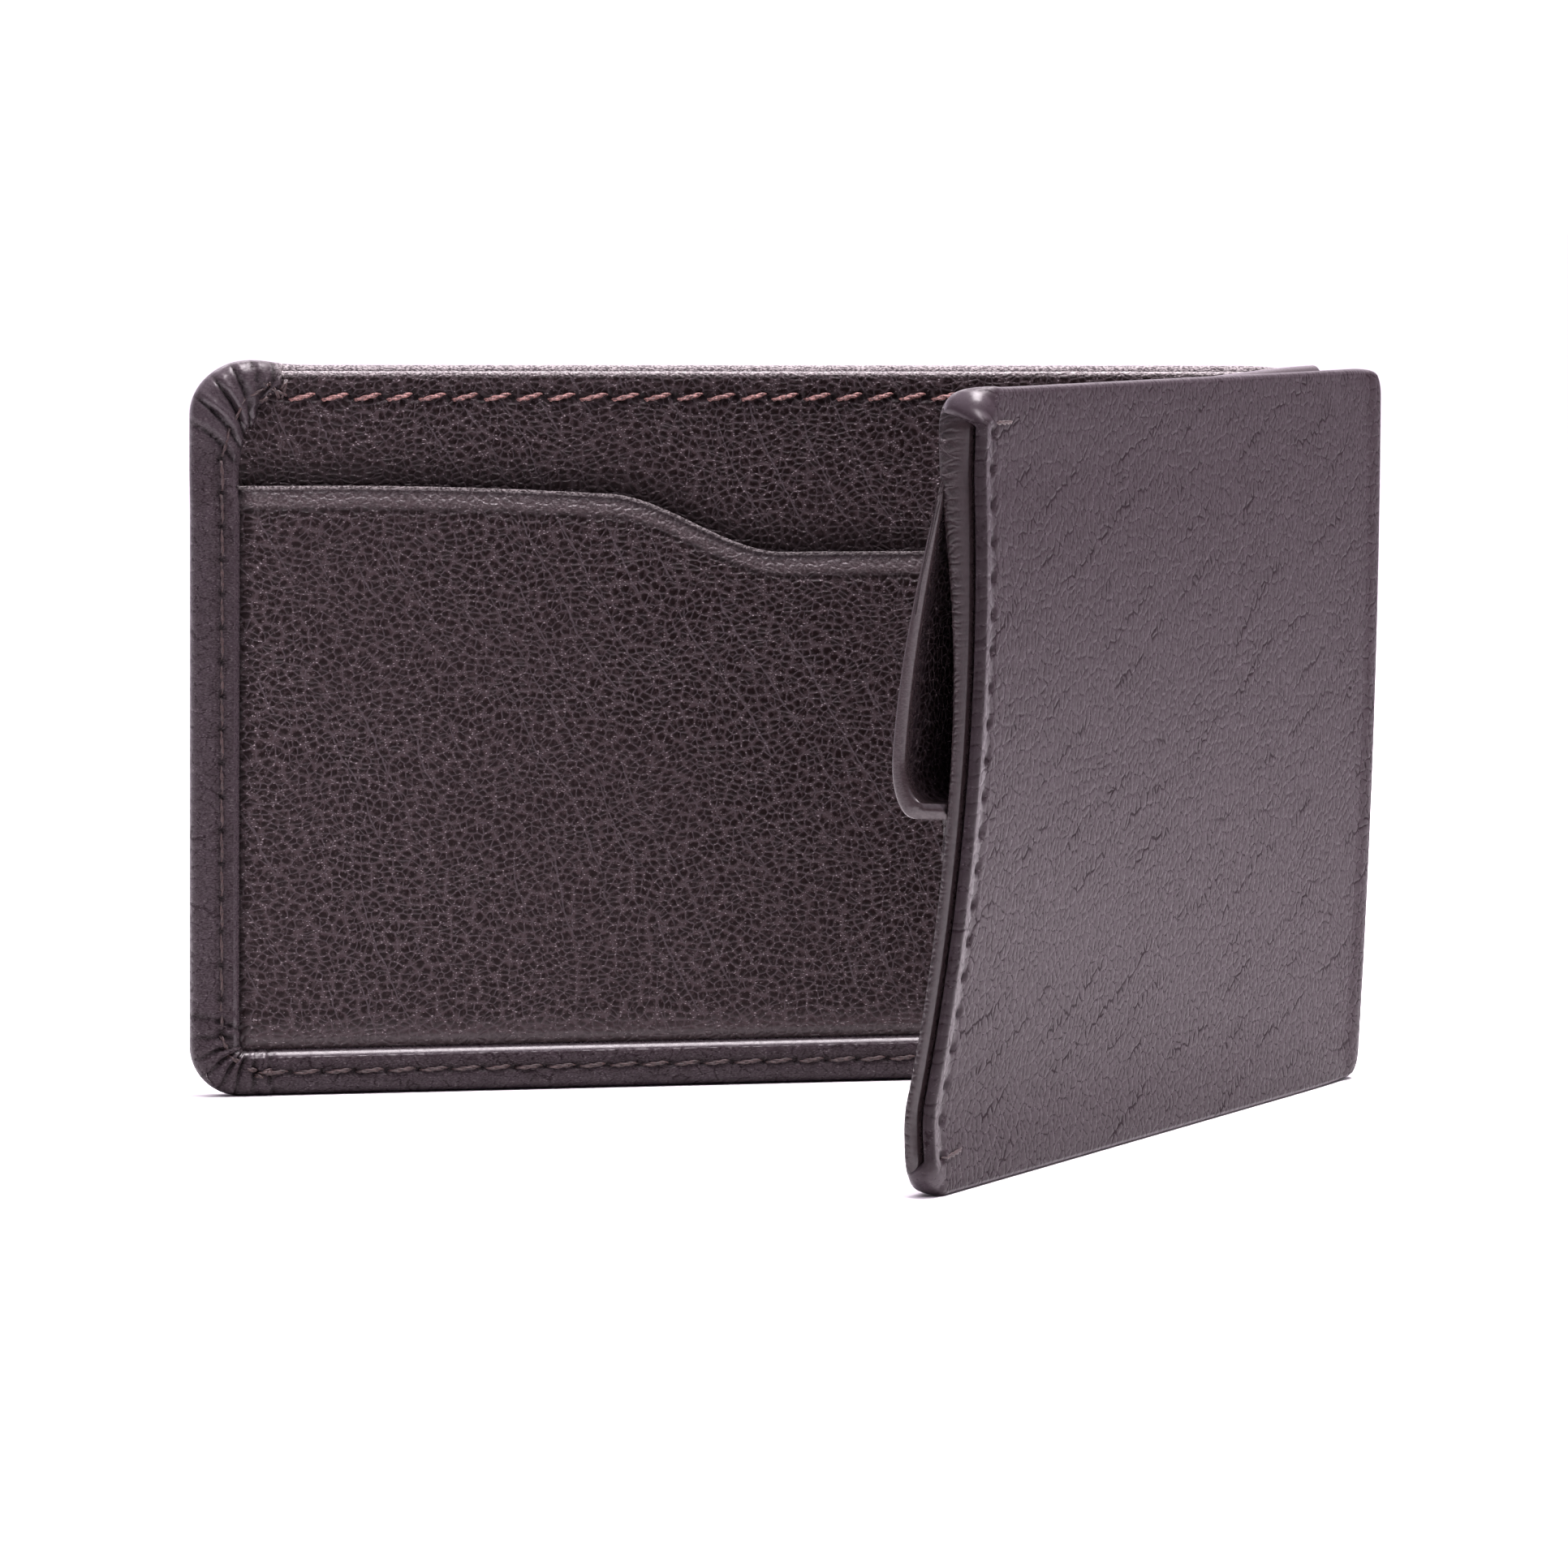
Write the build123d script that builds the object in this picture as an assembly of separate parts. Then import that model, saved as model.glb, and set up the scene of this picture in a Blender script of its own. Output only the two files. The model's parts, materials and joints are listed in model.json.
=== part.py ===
"""Slim bifold leather wallet, standing on its lower edges with the cover part open.

The wallet is laid out flat first, as its leather pattern lies on a bench: the back half at x < 0,
the spine from x = 0 to SPINE_W and the cover beyond it. Depth n is counted from the outer face
inwards, so n is -Y in that layout. Each half is then folded to its resting angle and moved to the
row frame: +X along the back half towards the fold, +Z up, the outer face of the back towards +Y,
and the origin in the middle of the edge that the back half stands on. Millimetres and degrees.
"""
import os
from build123d import *

# Driving dimensions
HALF_W = 106.0          # each half, from its fold line to its free edge
HEIGHT = 67.0
SPINE_W = 9.2           # between the two fold lines
FOLD_REST = 64.0        # bend at each fold line at rest; 0 is flat open, 90 is closed
CORNER_R = 5.0

# Leather, board and lining, by thickness
SKIN_T = 1.1
BOARD_T = 0.4
LINER_T = 0.8
CARD_GAP = 0.9          # room for one 0.76 mm card
LINING_T = 0.2
POCKET_T = 0.8
HEM_T = 0.9
SPINE_LINING_T = 0.4
SLEEVE_GAP = 0.6        # between the cover's turnings and its inner panel, lining included
INNER_T = 1.0
NOTE_WALL_T = 1.2

# Edges and seams
TURN_T = 1.0            # skived leather where it turns round an edge
HEM_W = 4.3             # visible width of the turned hem
TURN_W = 7.0            # hidden width of a glued turning
SEAM_INSET = 2.5        # seam to free edge
TOP_SEAM_INSET = 2.9
PITCH = 3.05
STITCH_L, STITCH_W, STITCH_T = 2.4, 0.55, 0.3
GROOVE_W, GROOVE_D = 0.8, 0.35
TOP_SEAM_START = 9.0    # the top seam begins past the pleated corner
CORNER_SKIP = 5.5       # the hem's seams leave out its corners
SEAM_STOP = 1.5         # a seam stops this far from the end of what it sews
COVER_SEAM_SKIP = 3.0
TACK_START, TACK_L = 0.9, 2.5   # a tack's gap from the cover's seam and its length
FOLD_GAP = 0.1          # clearance each side of a fold line
HEM_END = 2.0           # the bottom hem stops this far from the fold line
BOARD_END = 3.0         # and each board this far
TURN_CLEAR = 0.1        # a layer inside a turned edge stops this far from it

# Card pocket lip, heights above the standing edge and places from the free edge
LIP_HIGH, LIP_SHOULDER, LIP_LOW = 55.7, 54.4, 48.6
LIP_DROP_FROM, LIP_DROP_TO = 37.0, 59.0
POCKET_END = 6.0        # pocket stops this far from the fold line
POCKET_BORDER = 6.2     # seamed border round the card cavity
LINING_DROP = 2.5       # lining stops below the lip
POCKET_SEAM_INSET = 2.6
LIP_ROUNDING = 0.4      # how far the S starts to bend below its shoulder

# Note pocket on the inside of the cover, its mouth at the free edge
NOTE_DEPTH = 78.0
NOTE_TOP, NOTE_PEAK, NOTE_BOTTOM = 59.0, 36.5, 32.0
NOTE_BULGE = 4.4        # outer face of the wall above the inner panel, at the mouth
NOTE_SEAM_W = 3.5       # seam allowance under and behind the pocket
NOTE_SEAM_T = 1.0
NOTE_SEAM_INSET = 1.6
NOTE_FAR_T = 0.2        # what is left of the pocket's hollow at its far end
SWELL_SHARE = 0.62      # share of the bulge reached halfway down
MOUTH_INSET = 0.5       # the pocket's mouth stands back from the panel's edge
PANEL_INSET = 0.3       # and the panel from the cover's edges
COVER_LINING_INSET = 1.5
INNER_END = 8.0         # inner panel stops this far from its fold line, as the sleeve's mouth

# Depths of each layer in the two halves
BOARD_N = SKIN_T
LINER_N = BOARD_N + BOARD_T
BORDER_N = LINER_N + LINER_T
HEM_N = BORDER_N + POCKET_T
EDGE_N = HEM_N + HEM_T
LINING_N = BORDER_N + CARD_GAP
POCKET_N = LINING_N + LINING_T
FOLD_N = SKIN_T + SPINE_LINING_T
INNER_N = BOARD_N + BOARD_T + SLEEVE_GAP
NOTE_N = INNER_N + INNER_T

COVER_X = SPINE_W               # the cover's fold line in the flat layout
COVER_END = SPINE_W + HALF_W    # and its free edge


def plate(face, n_low, n_high):
    """A face drawn in x and z, thickened from depth n_low to n_high."""
    return extrude(Plane.XZ.offset(n_low) * face, amount=n_high - n_low)


def rectangle(x_low, x_high, z_low, z_high, left_r=0.0, right_r=0.0):
    """A rectangle in x and z with its left or right corners rounded."""
    centre = Pos((x_low + x_high) / 2, (z_low + z_high) / 2)
    face = centre * Rectangle(x_high - x_low, z_high - z_low)
    for radius, side in ((left_r, x_low), (right_r, x_high)):
        if radius > 0:
            corners = [v for v in face.vertices() if abs(v.X - side) < 1e-6]
            face = fillet(corners, radius)
    return face


def slab(x_low, x_high, z_low, z_high, n_low, n_high, left_r=0.0, right_r=0.0):
    return plate(rectangle(x_low, x_high, z_low, z_high, left_r, right_r), n_low, n_high)


def groove(start, end, n_low):
    """A channel for a seam that runs from start to end, both (x, z)."""
    (xs, zs), (xe, ze) = start, end
    half = GROOVE_W / 2
    return slab(min(xs, xe) - half, max(xs, xe) + half, min(zs, ze) - half, max(zs, ze) + half,
                n_low, n_low + GROOVE_D)


def stitches(start, end, n_low):
    """Separate stitches along a straight seam from start to end, both (x, z)."""
    (xs, zs), (xe, ze) = start, end
    length = ((xe - xs) ** 2 + (ze - zs) ** 2) ** 0.5
    count = max(1, round(length / PITCH))
    upright = abs(ze - zs) > abs(xe - xs)
    outline = Rot(0, 0, 90 if upright else 0) * SlotOverall(STITCH_L, STITCH_W)
    made = []
    for i in range(count):
        share = (i + 0.5) / count
        place = Pos(xs + (xe - xs) * share, zs + (ze - zs) * share)
        made.append(plate(place * outline, n_low, n_low + STITCH_T))
    return made


def turned_edge(x_low, x_high, n_high):
    """The wall of leather that turns round the free and lower edges of the back half."""
    outer = rectangle(x_low, x_high, 0, HEIGHT, left_r=CORNER_R)
    inner = rectangle(x_low + TURN_T, x_high + 1, TURN_T, HEIGHT + 1)
    inner = fillet([v for v in inner.vertices() if v.X < x_low + 2 and v.Y < 2],
                   CORNER_R - TURN_T)
    return plate(outer - inner, SKIN_T, n_high)


# Back half --------------------------------------------------------------------------------------
BACK_FREE = -HALF_W
SEAM_LEFT_X = BACK_FREE + SEAM_INSET
TOP_SEAM_Z = HEIGHT - TOP_SEAM_INSET
TOP_SEAM = ((BACK_FREE + TOP_SEAM_START, TOP_SEAM_Z), (-HEM_END, TOP_SEAM_Z))
LEFT_SEAM = ((SEAM_LEFT_X, CORNER_SKIP), (SEAM_LEFT_X, HEIGHT - CORNER_SKIP))
BOTTOM_SEAM = ((BACK_FREE + CORNER_SKIP, SEAM_INSET), (-HEM_END - SEAM_STOP, SEAM_INSET))
POCKET_SEAM_X = -POCKET_END - POCKET_SEAM_INSET
POCKET_SEAM = ((POCKET_SEAM_X, HEM_W + SEAM_STOP), (POCKET_SEAM_X, LIP_LOW - SEAM_STOP))


def back_skin():
    """Outer leather of the back, turned over the free and lower edges as a hem."""
    skin = slab(BACK_FREE, -FOLD_GAP, 0, HEIGHT, 0, SKIN_T, left_r=CORNER_R)
    hem_outline = rectangle(BACK_FREE, -HEM_END, 0, HEIGHT, left_r=CORNER_R)
    hem_hole = rectangle(BACK_FREE + HEM_W, 1, HEM_W, HEIGHT + 1)
    hem = plate(hem_outline - hem_hole, HEM_N, EDGE_N)
    top_turning = slab(BACK_FREE + TURN_T, -FOLD_GAP, HEIGHT - TURN_W, HEIGHT, BOARD_N, LINER_N)
    top_turning &= slab(BACK_FREE, 0, 0, HEIGHT, 0, EDGE_N, left_r=CORNER_R)
    skin += turned_edge(BACK_FREE, -HEM_END, EDGE_N) + hem + top_turning
    for seam in (TOP_SEAM, LEFT_SEAM, BOTTOM_SEAM):
        skin -= groove(*seam, 0)
    for seam in (LEFT_SEAM, BOTTOM_SEAM):
        skin -= groove(*seam, EDGE_N - GROOVE_D)
    return skin


def inside_turn(x_high, z_high):
    """Outline of a layer that lies inside the turned edges of the back half."""
    inset = TURN_T + TURN_CLEAR
    outline = rectangle(BACK_FREE + inset, x_high, inset, z_high)
    low_corner = [v for v in outline.vertices() if v.X < BACK_FREE + 2 and v.Y < 2]
    return fillet(low_corner, CORNER_R - inset)


def back_board():
    """Stiffening board between the back skin and the liner."""
    outline = inside_turn(-BOARD_END, HEIGHT - TURN_W - TURN_CLEAR)
    return plate(outline, BOARD_N, LINER_N)


def back_liner():
    """Leather panel behind the card pocket, seen above the pocket's lip."""
    outline = inside_turn(-1.0, HEIGHT)
    high_corner = [v for v in outline.vertices() if v.X < BACK_FREE + 2 and v.Y > HEIGHT - 1]
    outline = fillet(high_corner, CORNER_R - TURN_T)
    panel = plate(outline, LINER_N, BORDER_N)
    return panel - groove(*TOP_SEAM, BORDER_N - GROOVE_D)


def lip_face(drop=0.0, x_low=BACK_FREE + TURN_T + TURN_CLEAR, x_high=-POCKET_END, z_low=None):
    """Pocket outline: a long shoulder, an S-shaped drop and a low thumb stretch."""
    z_low = TURN_T + TURN_CLEAR if z_low is None else z_low
    drop_from, drop_to = BACK_FREE + LIP_DROP_FROM, BACK_FREE + LIP_DROP_TO
    middle = (drop_from + drop_to) / 2
    high, shoulder, low = LIP_HIGH - drop, LIP_SHOULDER - drop, LIP_LOW - drop
    edges = [
        Line((x_low, z_low), (x_low, high)),
        Line((x_low, high), (drop_from, shoulder)),
        Bezier((drop_from, shoulder), (middle, shoulder - LIP_ROUNDING), (middle, low),
               (drop_to, low)),
        Line((drop_to, low), (x_high, low)),
        Line((x_high, low), (x_high, z_low)),
        Line((x_high, z_low), (x_low, z_low)),
    ]
    return make_face(Wire(edges))


def card_pocket():
    """Front wall of the card pocket, stepped down to its seamed border."""
    outline = lip_face() & inside_turn(-POCKET_END, HEIGHT)
    pocket = plate(outline, BORDER_N, POCKET_N + POCKET_T)
    step = HEM_W + 0.2
    face_n = POCKET_N + POCKET_T
    border_clear = slab(BACK_FREE, 0, 0, HEIGHT, HEM_N, face_n)
    border_clear -= slab(BACK_FREE + step, 0, step, HEIGHT, HEM_N, face_n)
    cavity = slab(BACK_FREE + POCKET_BORDER, -POCKET_END - POCKET_BORDER, POCKET_BORDER,
                  HEIGHT, BORDER_N, POCKET_N)
    pocket = pocket - border_clear - cavity
    return pocket - groove(*POCKET_SEAM, face_n - GROOVE_D)


def card_pocket_lining():
    """Thin fabric glued to the inside of the pocket wall, short of the lip."""
    clear = POCKET_BORDER + TURN_CLEAR
    face = lip_face(LINING_DROP, BACK_FREE + clear, -POCKET_END - clear, clear)
    return plate(face, LINING_N, POCKET_N)


def through_stitches(seam, inner_n):
    """Both sides of a lock-stitched seam, each sunk in its groove."""
    sunk = GROOVE_D - STITCH_T
    return stitches(*seam, sunk) + stitches(*seam, inner_n - GROOVE_D)


# Spine ------------------------------------------------------------------------------------------
def spine_skin():
    """Outer leather between the two fold lines."""
    return slab(FOLD_GAP, SPINE_W - FOLD_GAP, 0, HEIGHT, 0, SKIN_T)


def spine_lining():
    """Facing leather glued inside the spine."""
    return slab(FOLD_GAP, SPINE_W - FOLD_GAP, 0, HEIGHT, SKIN_T, FOLD_N)


# Cover half -------------------------------------------------------------------------------------
COVER_SEAM_X = COVER_END - SEAM_INSET
COVER_SEAM = ((COVER_SEAM_X, COVER_SEAM_SKIP), (COVER_SEAM_X, HEIGHT - COVER_SEAM_SKIP))
NOTE_FAR_X = COVER_END - NOTE_DEPTH
NOTE_LOW_Z = NOTE_BOTTOM - NOTE_SEAM_W
NOTE_SEAM_Z = NOTE_LOW_Z + NOTE_SEAM_INSET
NOTE_SEAM_X = NOTE_FAR_X - NOTE_SEAM_INSET
NOTE_LOW_SEAM = ((NOTE_FAR_X, NOTE_SEAM_Z), (COVER_SEAM_X - SEAM_INSET, NOTE_SEAM_Z))
NOTE_FAR_SEAM = ((NOTE_SEAM_X, NOTE_BOTTOM), (NOTE_SEAM_X, HEIGHT - CORNER_SKIP))
NOTE_SEAM_N = NOTE_N + NOTE_SEAM_T


def cover_skin():
    """Outer leather of the cover, its three free sides turned in and glued down."""
    skin = slab(COVER_X + FOLD_GAP, COVER_END, 0, HEIGHT, 0, SKIN_T, right_r=CORNER_R)
    outline = rectangle(COVER_X + FOLD_GAP, COVER_END, 0, HEIGHT, right_r=CORNER_R)
    hole = rectangle(COVER_X - 1, COVER_END - TURN_W, TURN_W, HEIGHT - TURN_W)
    skin += plate(outline - hole, BOARD_N, LINER_N)
    return skin - groove(*COVER_SEAM, 0)


def cover_board():
    """Stiffening board inside the cover's turnings."""
    edge = TURN_W + TURN_CLEAR
    return slab(COVER_X + BOARD_END, COVER_END - edge, edge, HEIGHT - edge, BOARD_N, LINER_N)


def cover_lining():
    """Thin fabric over the board and the turnings, facing the sleeve."""
    return slab(COVER_X + COVER_LINING_INSET, COVER_END - TURN_W - TURN_CLEAR, COVER_LINING_INSET,
                HEIGHT - COVER_LINING_INSET, LINER_N, LINER_N + LINING_T)


def cover_inner_panel():
    """Inner wall of the sleeve behind the cover; its mouth faces the fold."""
    x_high, z_low, z_high = COVER_END - PANEL_INSET, PANEL_INSET, HEIGHT - PANEL_INSET
    corner = CORNER_R - PANEL_INSET
    panel = slab(COVER_X + INNER_END, x_high, z_low, z_high, INNER_N, NOTE_N, right_r=corner)
    roll = slab(COVER_END - TURN_W, x_high, z_low, z_high, LINER_N, NOTE_N, right_r=corner)
    return panel + roll


def note_section(x, peak, inset):
    """Pocket section at x: it swells slowly downwards and turns in sharply at the bottom."""
    top, bottom = NOTE_TOP - inset, NOTE_BOTTOM + inset
    base = -NOTE_N
    swell = Spline((base, top), (base - SWELL_SHARE * peak, (top + NOTE_PEAK) / 2),
                   (base - peak, NOTE_PEAK))
    turn = Bezier((base - peak, NOTE_PEAK), (base - peak, bottom), (base - peak / 2, bottom),
                  (base, bottom))
    ends = [Line((base, bottom), (base, top))]
    return Plane.YZ.offset(x) * make_face(Wire([swell, turn, *ends]))


def note_pocket_wall():
    """Shaped wall of the note pocket, sewn down above, below and at its far end."""
    mouth_x = COVER_END - MOUTH_INSET
    z_high = HEIGHT - MOUTH_INSET
    outer = loft([note_section(NOTE_FAR_X, NOTE_WALL_T, 0),
                  note_section(mouth_x, NOTE_BULGE, 0)], ruled=True)
    inner = loft([note_section(NOTE_FAR_X + NOTE_SEAM_W, NOTE_FAR_T, NOTE_WALL_T),
                  note_section(COVER_END, NOTE_BULGE - NOTE_WALL_T, NOTE_WALL_T)], ruled=True)
    above = slab(NOTE_FAR_X, mouth_x, NOTE_TOP - NOTE_WALL_T, z_high, NOTE_N, NOTE_N + NOTE_WALL_T)
    above &= slab(COVER_X, mouth_x, MOUTH_INSET, z_high, 0, EDGE_N + NOTE_BULGE, right_r=CORNER_R)
    below = slab(NOTE_FAR_X, mouth_x, NOTE_LOW_Z, NOTE_BOTTOM + NOTE_WALL_T / 2,
                 NOTE_N, NOTE_SEAM_N)
    far = slab(NOTE_FAR_X - NOTE_SEAM_W, NOTE_FAR_X + MOUTH_INSET, NOTE_LOW_Z, z_high,
               NOTE_N, NOTE_SEAM_N)
    wall = outer + above + below + far - inner
    for seam in (NOTE_LOW_SEAM, NOTE_FAR_SEAM):
        wall -= groove(*seam, NOTE_SEAM_N - GROOVE_D)
    return wall


def cover_tacks():
    """Short doubled stitches that lock both ends of the cover seam."""
    made = []
    start_x = COVER_SEAM_X - TACK_START
    for _, z in COVER_SEAM:
        made += stitches((start_x, z), (start_x - TACK_L, z), -STITCH_T)
    return made


# Folding and writing ----------------------------------------------------------------------------
def bend_at(x):
    """Bends what lies beyond the fold line at x by the resting angle, inwards."""
    return Pos(x, -FOLD_N, 0) * Rot(0, 0, -FOLD_REST) * Pos(-x, FOLD_N, 0)


TO_ROW = Pos(HALF_W / 2, EDGE_N / 2, 0)
PLACES = {
    "back": TO_ROW,
    "spine": TO_ROW * bend_at(0.0),
    "cover": TO_ROW * bend_at(0.0) * bend_at(COVER_X),
}


def sub_parts():
    """Every node's body and solids, in the flat layout."""
    sunk = GROOVE_D - STITCH_T
    note_face = NOTE_SEAM_N - GROOVE_D
    yield "back_skin", "back", back_skin()
    yield "back_board", "back", back_board()
    yield "back_liner", "back", back_liner()
    yield "card_pocket", "back", card_pocket()
    yield "card_pocket_lining", "back", card_pocket_lining()
    yield "back_top_thread", "back", through_stitches(TOP_SEAM, BORDER_N)
    yield "back_side_thread", "back", through_stitches(LEFT_SEAM, EDGE_N)
    yield "back_bottom_thread", "back", through_stitches(BOTTOM_SEAM, EDGE_N)
    yield "card_pocket_thread", "back", stitches(*POCKET_SEAM, POCKET_N + POCKET_T - GROOVE_D)
    yield "spine_skin", "spine", spine_skin()
    yield "spine_lining", "spine", spine_lining()
    yield "cover_skin", "cover", cover_skin()
    yield "cover_board", "cover", cover_board()
    yield "cover_lining", "cover", cover_lining()
    yield "cover_inner_panel", "cover", cover_inner_panel()
    yield "note_pocket_wall", "cover", note_pocket_wall()
    yield "cover_edge_thread", "cover", stitches(*COVER_SEAM, sunk)
    yield "cover_tack_thread", "cover", cover_tacks()
    yield "note_pocket_low_thread", "cover", stitches(*NOTE_LOW_SEAM, note_face)
    yield "note_pocket_far_thread", "cover", stitches(*NOTE_FAR_SEAM, note_face)


def main():
    os.makedirs("parts", exist_ok=True)
    for name, body, made in sub_parts():
        solids = made if isinstance(made, list) else made.solids()
        placed = Compound(children=[PLACES[body] * Solid(s.wrapped) for s in solids])
        placed.label = name
        export_step(placed, f"parts/{name}.step")


main()
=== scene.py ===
"""Looks of a slim bifold leather wallet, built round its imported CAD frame.

Every piece is laid out flat first, in millimetres, as (x, n, z): x runs along the strip of outer
leather with 0 at the back half's fold line, n is the depth inwards from the outer face, and z is
the height. place() then folds the strip to the wallet's resting shape. Places on a half are given
as (u, z), where u is the distance from that half's free edge.
"""

import json
import math
from types import SimpleNamespace

import bmesh
import bpy
import numpy as np
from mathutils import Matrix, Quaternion, Vector


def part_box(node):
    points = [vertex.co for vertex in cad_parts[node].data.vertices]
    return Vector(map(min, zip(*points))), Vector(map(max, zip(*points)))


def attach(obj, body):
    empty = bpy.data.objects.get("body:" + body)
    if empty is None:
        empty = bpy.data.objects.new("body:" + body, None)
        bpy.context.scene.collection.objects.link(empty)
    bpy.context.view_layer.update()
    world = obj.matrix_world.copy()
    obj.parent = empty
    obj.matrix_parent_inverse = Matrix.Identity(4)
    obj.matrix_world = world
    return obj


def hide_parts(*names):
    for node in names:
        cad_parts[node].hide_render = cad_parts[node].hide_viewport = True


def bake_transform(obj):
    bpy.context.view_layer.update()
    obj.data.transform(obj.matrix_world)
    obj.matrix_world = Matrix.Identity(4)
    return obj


MM = 1000.0

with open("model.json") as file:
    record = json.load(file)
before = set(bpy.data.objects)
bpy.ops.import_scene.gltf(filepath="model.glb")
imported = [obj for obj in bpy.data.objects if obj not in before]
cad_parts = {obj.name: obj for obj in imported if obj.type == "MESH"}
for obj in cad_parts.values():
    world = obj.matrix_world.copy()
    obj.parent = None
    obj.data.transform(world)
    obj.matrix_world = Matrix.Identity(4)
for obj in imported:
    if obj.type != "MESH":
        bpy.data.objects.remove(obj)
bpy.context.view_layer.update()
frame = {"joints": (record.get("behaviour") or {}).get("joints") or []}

# Sizes read from the frame --------------------------------------------
JOINTS = {joint["name"]: joint for joint in frame["joints"]}
HINGE_BACK = np.array(JOINTS["fold_back"]["pos_m"][:2]) * MM
HINGE_COVER = np.array(JOINTS["fold_cover"]["pos_m"][:2]) * MM
SKIN_LOW, SKIN_HIGH = (np.array(corner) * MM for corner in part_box("back_skin"))
HEIGHT = SKIN_HIGH[2]
HALF_W = HINGE_BACK[0] - SKIN_LOW[0]
SPINE_W = np.linalg.norm(HINGE_COVER - HINGE_BACK)
REST = math.atan2(HINGE_BACK[1] - HINGE_COVER[1], HINGE_COVER[0] - HINGE_BACK[0])
FOLD_N = SKIN_HIGH[1] - HINGE_BACK[1]
COVER_END = SPINE_W + HALF_W
REACH = SPINE_W / 2             # leather bends this far each side of a fold line

# Layers: names that end in _N are depths from the outer face, in _T thicknesses
SKIN_T = 1.1
BOARD_T = 0.4
LINER_N, LINER_T = SKIN_T + BOARD_T, 0.8
BORDER_N = LINER_N + LINER_T
BACK_HEM_N, TOP_HEM_N = 4.1, 3.3
CARD_FACE_N, CARD_T = 3.75, 1.1
PANEL_N, PANEL_FACE_N = 1.3, 2.8
ROLL_N = 1.05                   # the cover's turned edge, away from its corners
GLUE_GAP = 0.02                 # keeps two glued faces apart

# Edges, and how far in from them each seam runs
CORNER_R = 4.6
COVER_CORNER_R = 3.4
HEM_W = 4.3
TURNING = 7.1                   # width of the leather that is turned in and glued down
SIDE_SEAM, LOW_SEAM, TOP_SEAM, COVER_SEAM = 2.5, 2.2, 2.9, 1.9
PITCH = 3.05

# How the soft leather stands: the fold leans and bows, the cover curls, twists and bows over its
# height with its two free corners turned back, and the bent edges draw in at the fold. Names that
# end in _FROM say where that starts on the way from mid height, 0, to the edge, 1.
LEAN, FOLD_BOW = 0.80, 0.50
LEAN_REACH = 45.0
CURL, TWIST, BOW = 0.71, 1.79, 2.05
LOW_TURN, HIGH_TURN, TURN_FROM = 1.5, 0.5, 0.76
FOLD_DIP, DIP_FROM = 1.0, 0.7
FOLD_ROUNDING, ROUNDING_FROM = 1.1, 0.93
BEND_ROUNDS = 40                # enough for bend_share to settle

RANDOM = np.random.default_rng(7)


def smooth(t):
    t = np.clip(t, 0.0, 1.0)
    return t * t * (3 - 2 * t)


def ramp(value, start, end):
    """0 before start, 1 after end, smooth between."""
    return smooth((value - start) / (end - start))


def dip(distance, width):
    """1 at no distance, falling away over width."""
    return np.exp(-(distance / width) ** 2)


# Folding --------------------------------------------------------------
def turn(points, pivot, angle):
    """Plan points (x, y) turned inwards, clockwise from above, by an angle for each point."""
    c, s = np.cos(angle), np.sin(angle)
    x, y = (points - pivot).T
    return pivot + np.stack([x * c + y * s, y * c - x * s], axis=1)


def bend_line(pivot):
    """Where the bend about a fold line starts and ends, once bent."""
    start = pivot - (REACH, 0.0)
    end = turn(np.array([pivot + (REACH, 0.0)]), pivot, np.array([REST]))[0]
    return start, end


def bend_share(points, pivot):
    start, end = bend_line(pivot)
    along = (end - start) / np.dot(end - start, end - start)
    t = np.clip((points[:, 0] - pivot[0]) / (2 * REACH) + 0.5, 0.0, 1.0)
    for _ in range(BEND_ROUNDS):
        bent = turn(points, pivot, REST * smooth(t))
        t = np.clip((bent - start) @ along, 0.0, 1.0)
    return smooth(t)


def place(flat, half, bends):
    """Folds flat points (x, n, z) of one half into the row frame, in metres."""
    x, n, z = flat.T
    tilt = 2 * z / HEIGHT - 1
    if half == "cover":
        turned_back = np.where(tilt < 0, LOW_TURN, HIGH_TURN) * ramp(np.abs(tilt), TURN_FROM, 1.0)
        curl = CURL + BOW * (tilt ** 2 - 1 / 3) - TWIST * tilt - turned_back
        n = n + curl * np.clip((x - SPINE_W) / HALF_W, 0, 1)
    plan = np.stack([HINGE_BACK[0] + x, HINGE_BACK[1] + FOLD_N - n], axis=1)
    everywhere = np.ones(len(plan))
    if half == "back":
        share = bend_share(plan, HINGE_BACK) if bends else 0 * everywhere
        plan = turn(plan, HINGE_BACK, REST * share)
    else:
        hinge = HINGE_BACK + (SPINE_W, 0.0)
        share = bend_share(plan, hinge) if bends else everywhere
        plan = turn(plan, hinge, REST * share)
        plan = turn(plan, HINGE_BACK, REST * everywhere)
    plan[:, 0] += (LEAN * tilt + FOLD_BOW * (1 - tilt ** 2)) * smooth(1 + x / LEAN_REACH)
    drawn_in = FOLD_DIP * dip(x - SPINE_W / 2, REACH) * ramp(np.abs(tilt), DIP_FROM, 1.0)
    near_end = np.clip((np.abs(tilt) - ROUNDING_FROM) / (1 - ROUNDING_FROM), 0, 1)
    rounding = FOLD_ROUNDING * (1 - np.sqrt(1 - near_end ** 2))
    plan[:, 0] -= rounding * dip(x - SPINE_W / 2, 2 * REACH)
    return np.column_stack([plan, z - np.sign(tilt) * drawn_in]) / MM


def blend_over_fold(obj):
    """Bakes the piece's placing into its mesh, leaving it attached to neither half."""
    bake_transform(obj)


# Meshes ---------------------------------------------------------------
def add_object(name, data):
    obj = bpy.data.objects.new(name, data)
    bpy.context.scene.collection.objects.link(obj)
    return obj


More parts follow.
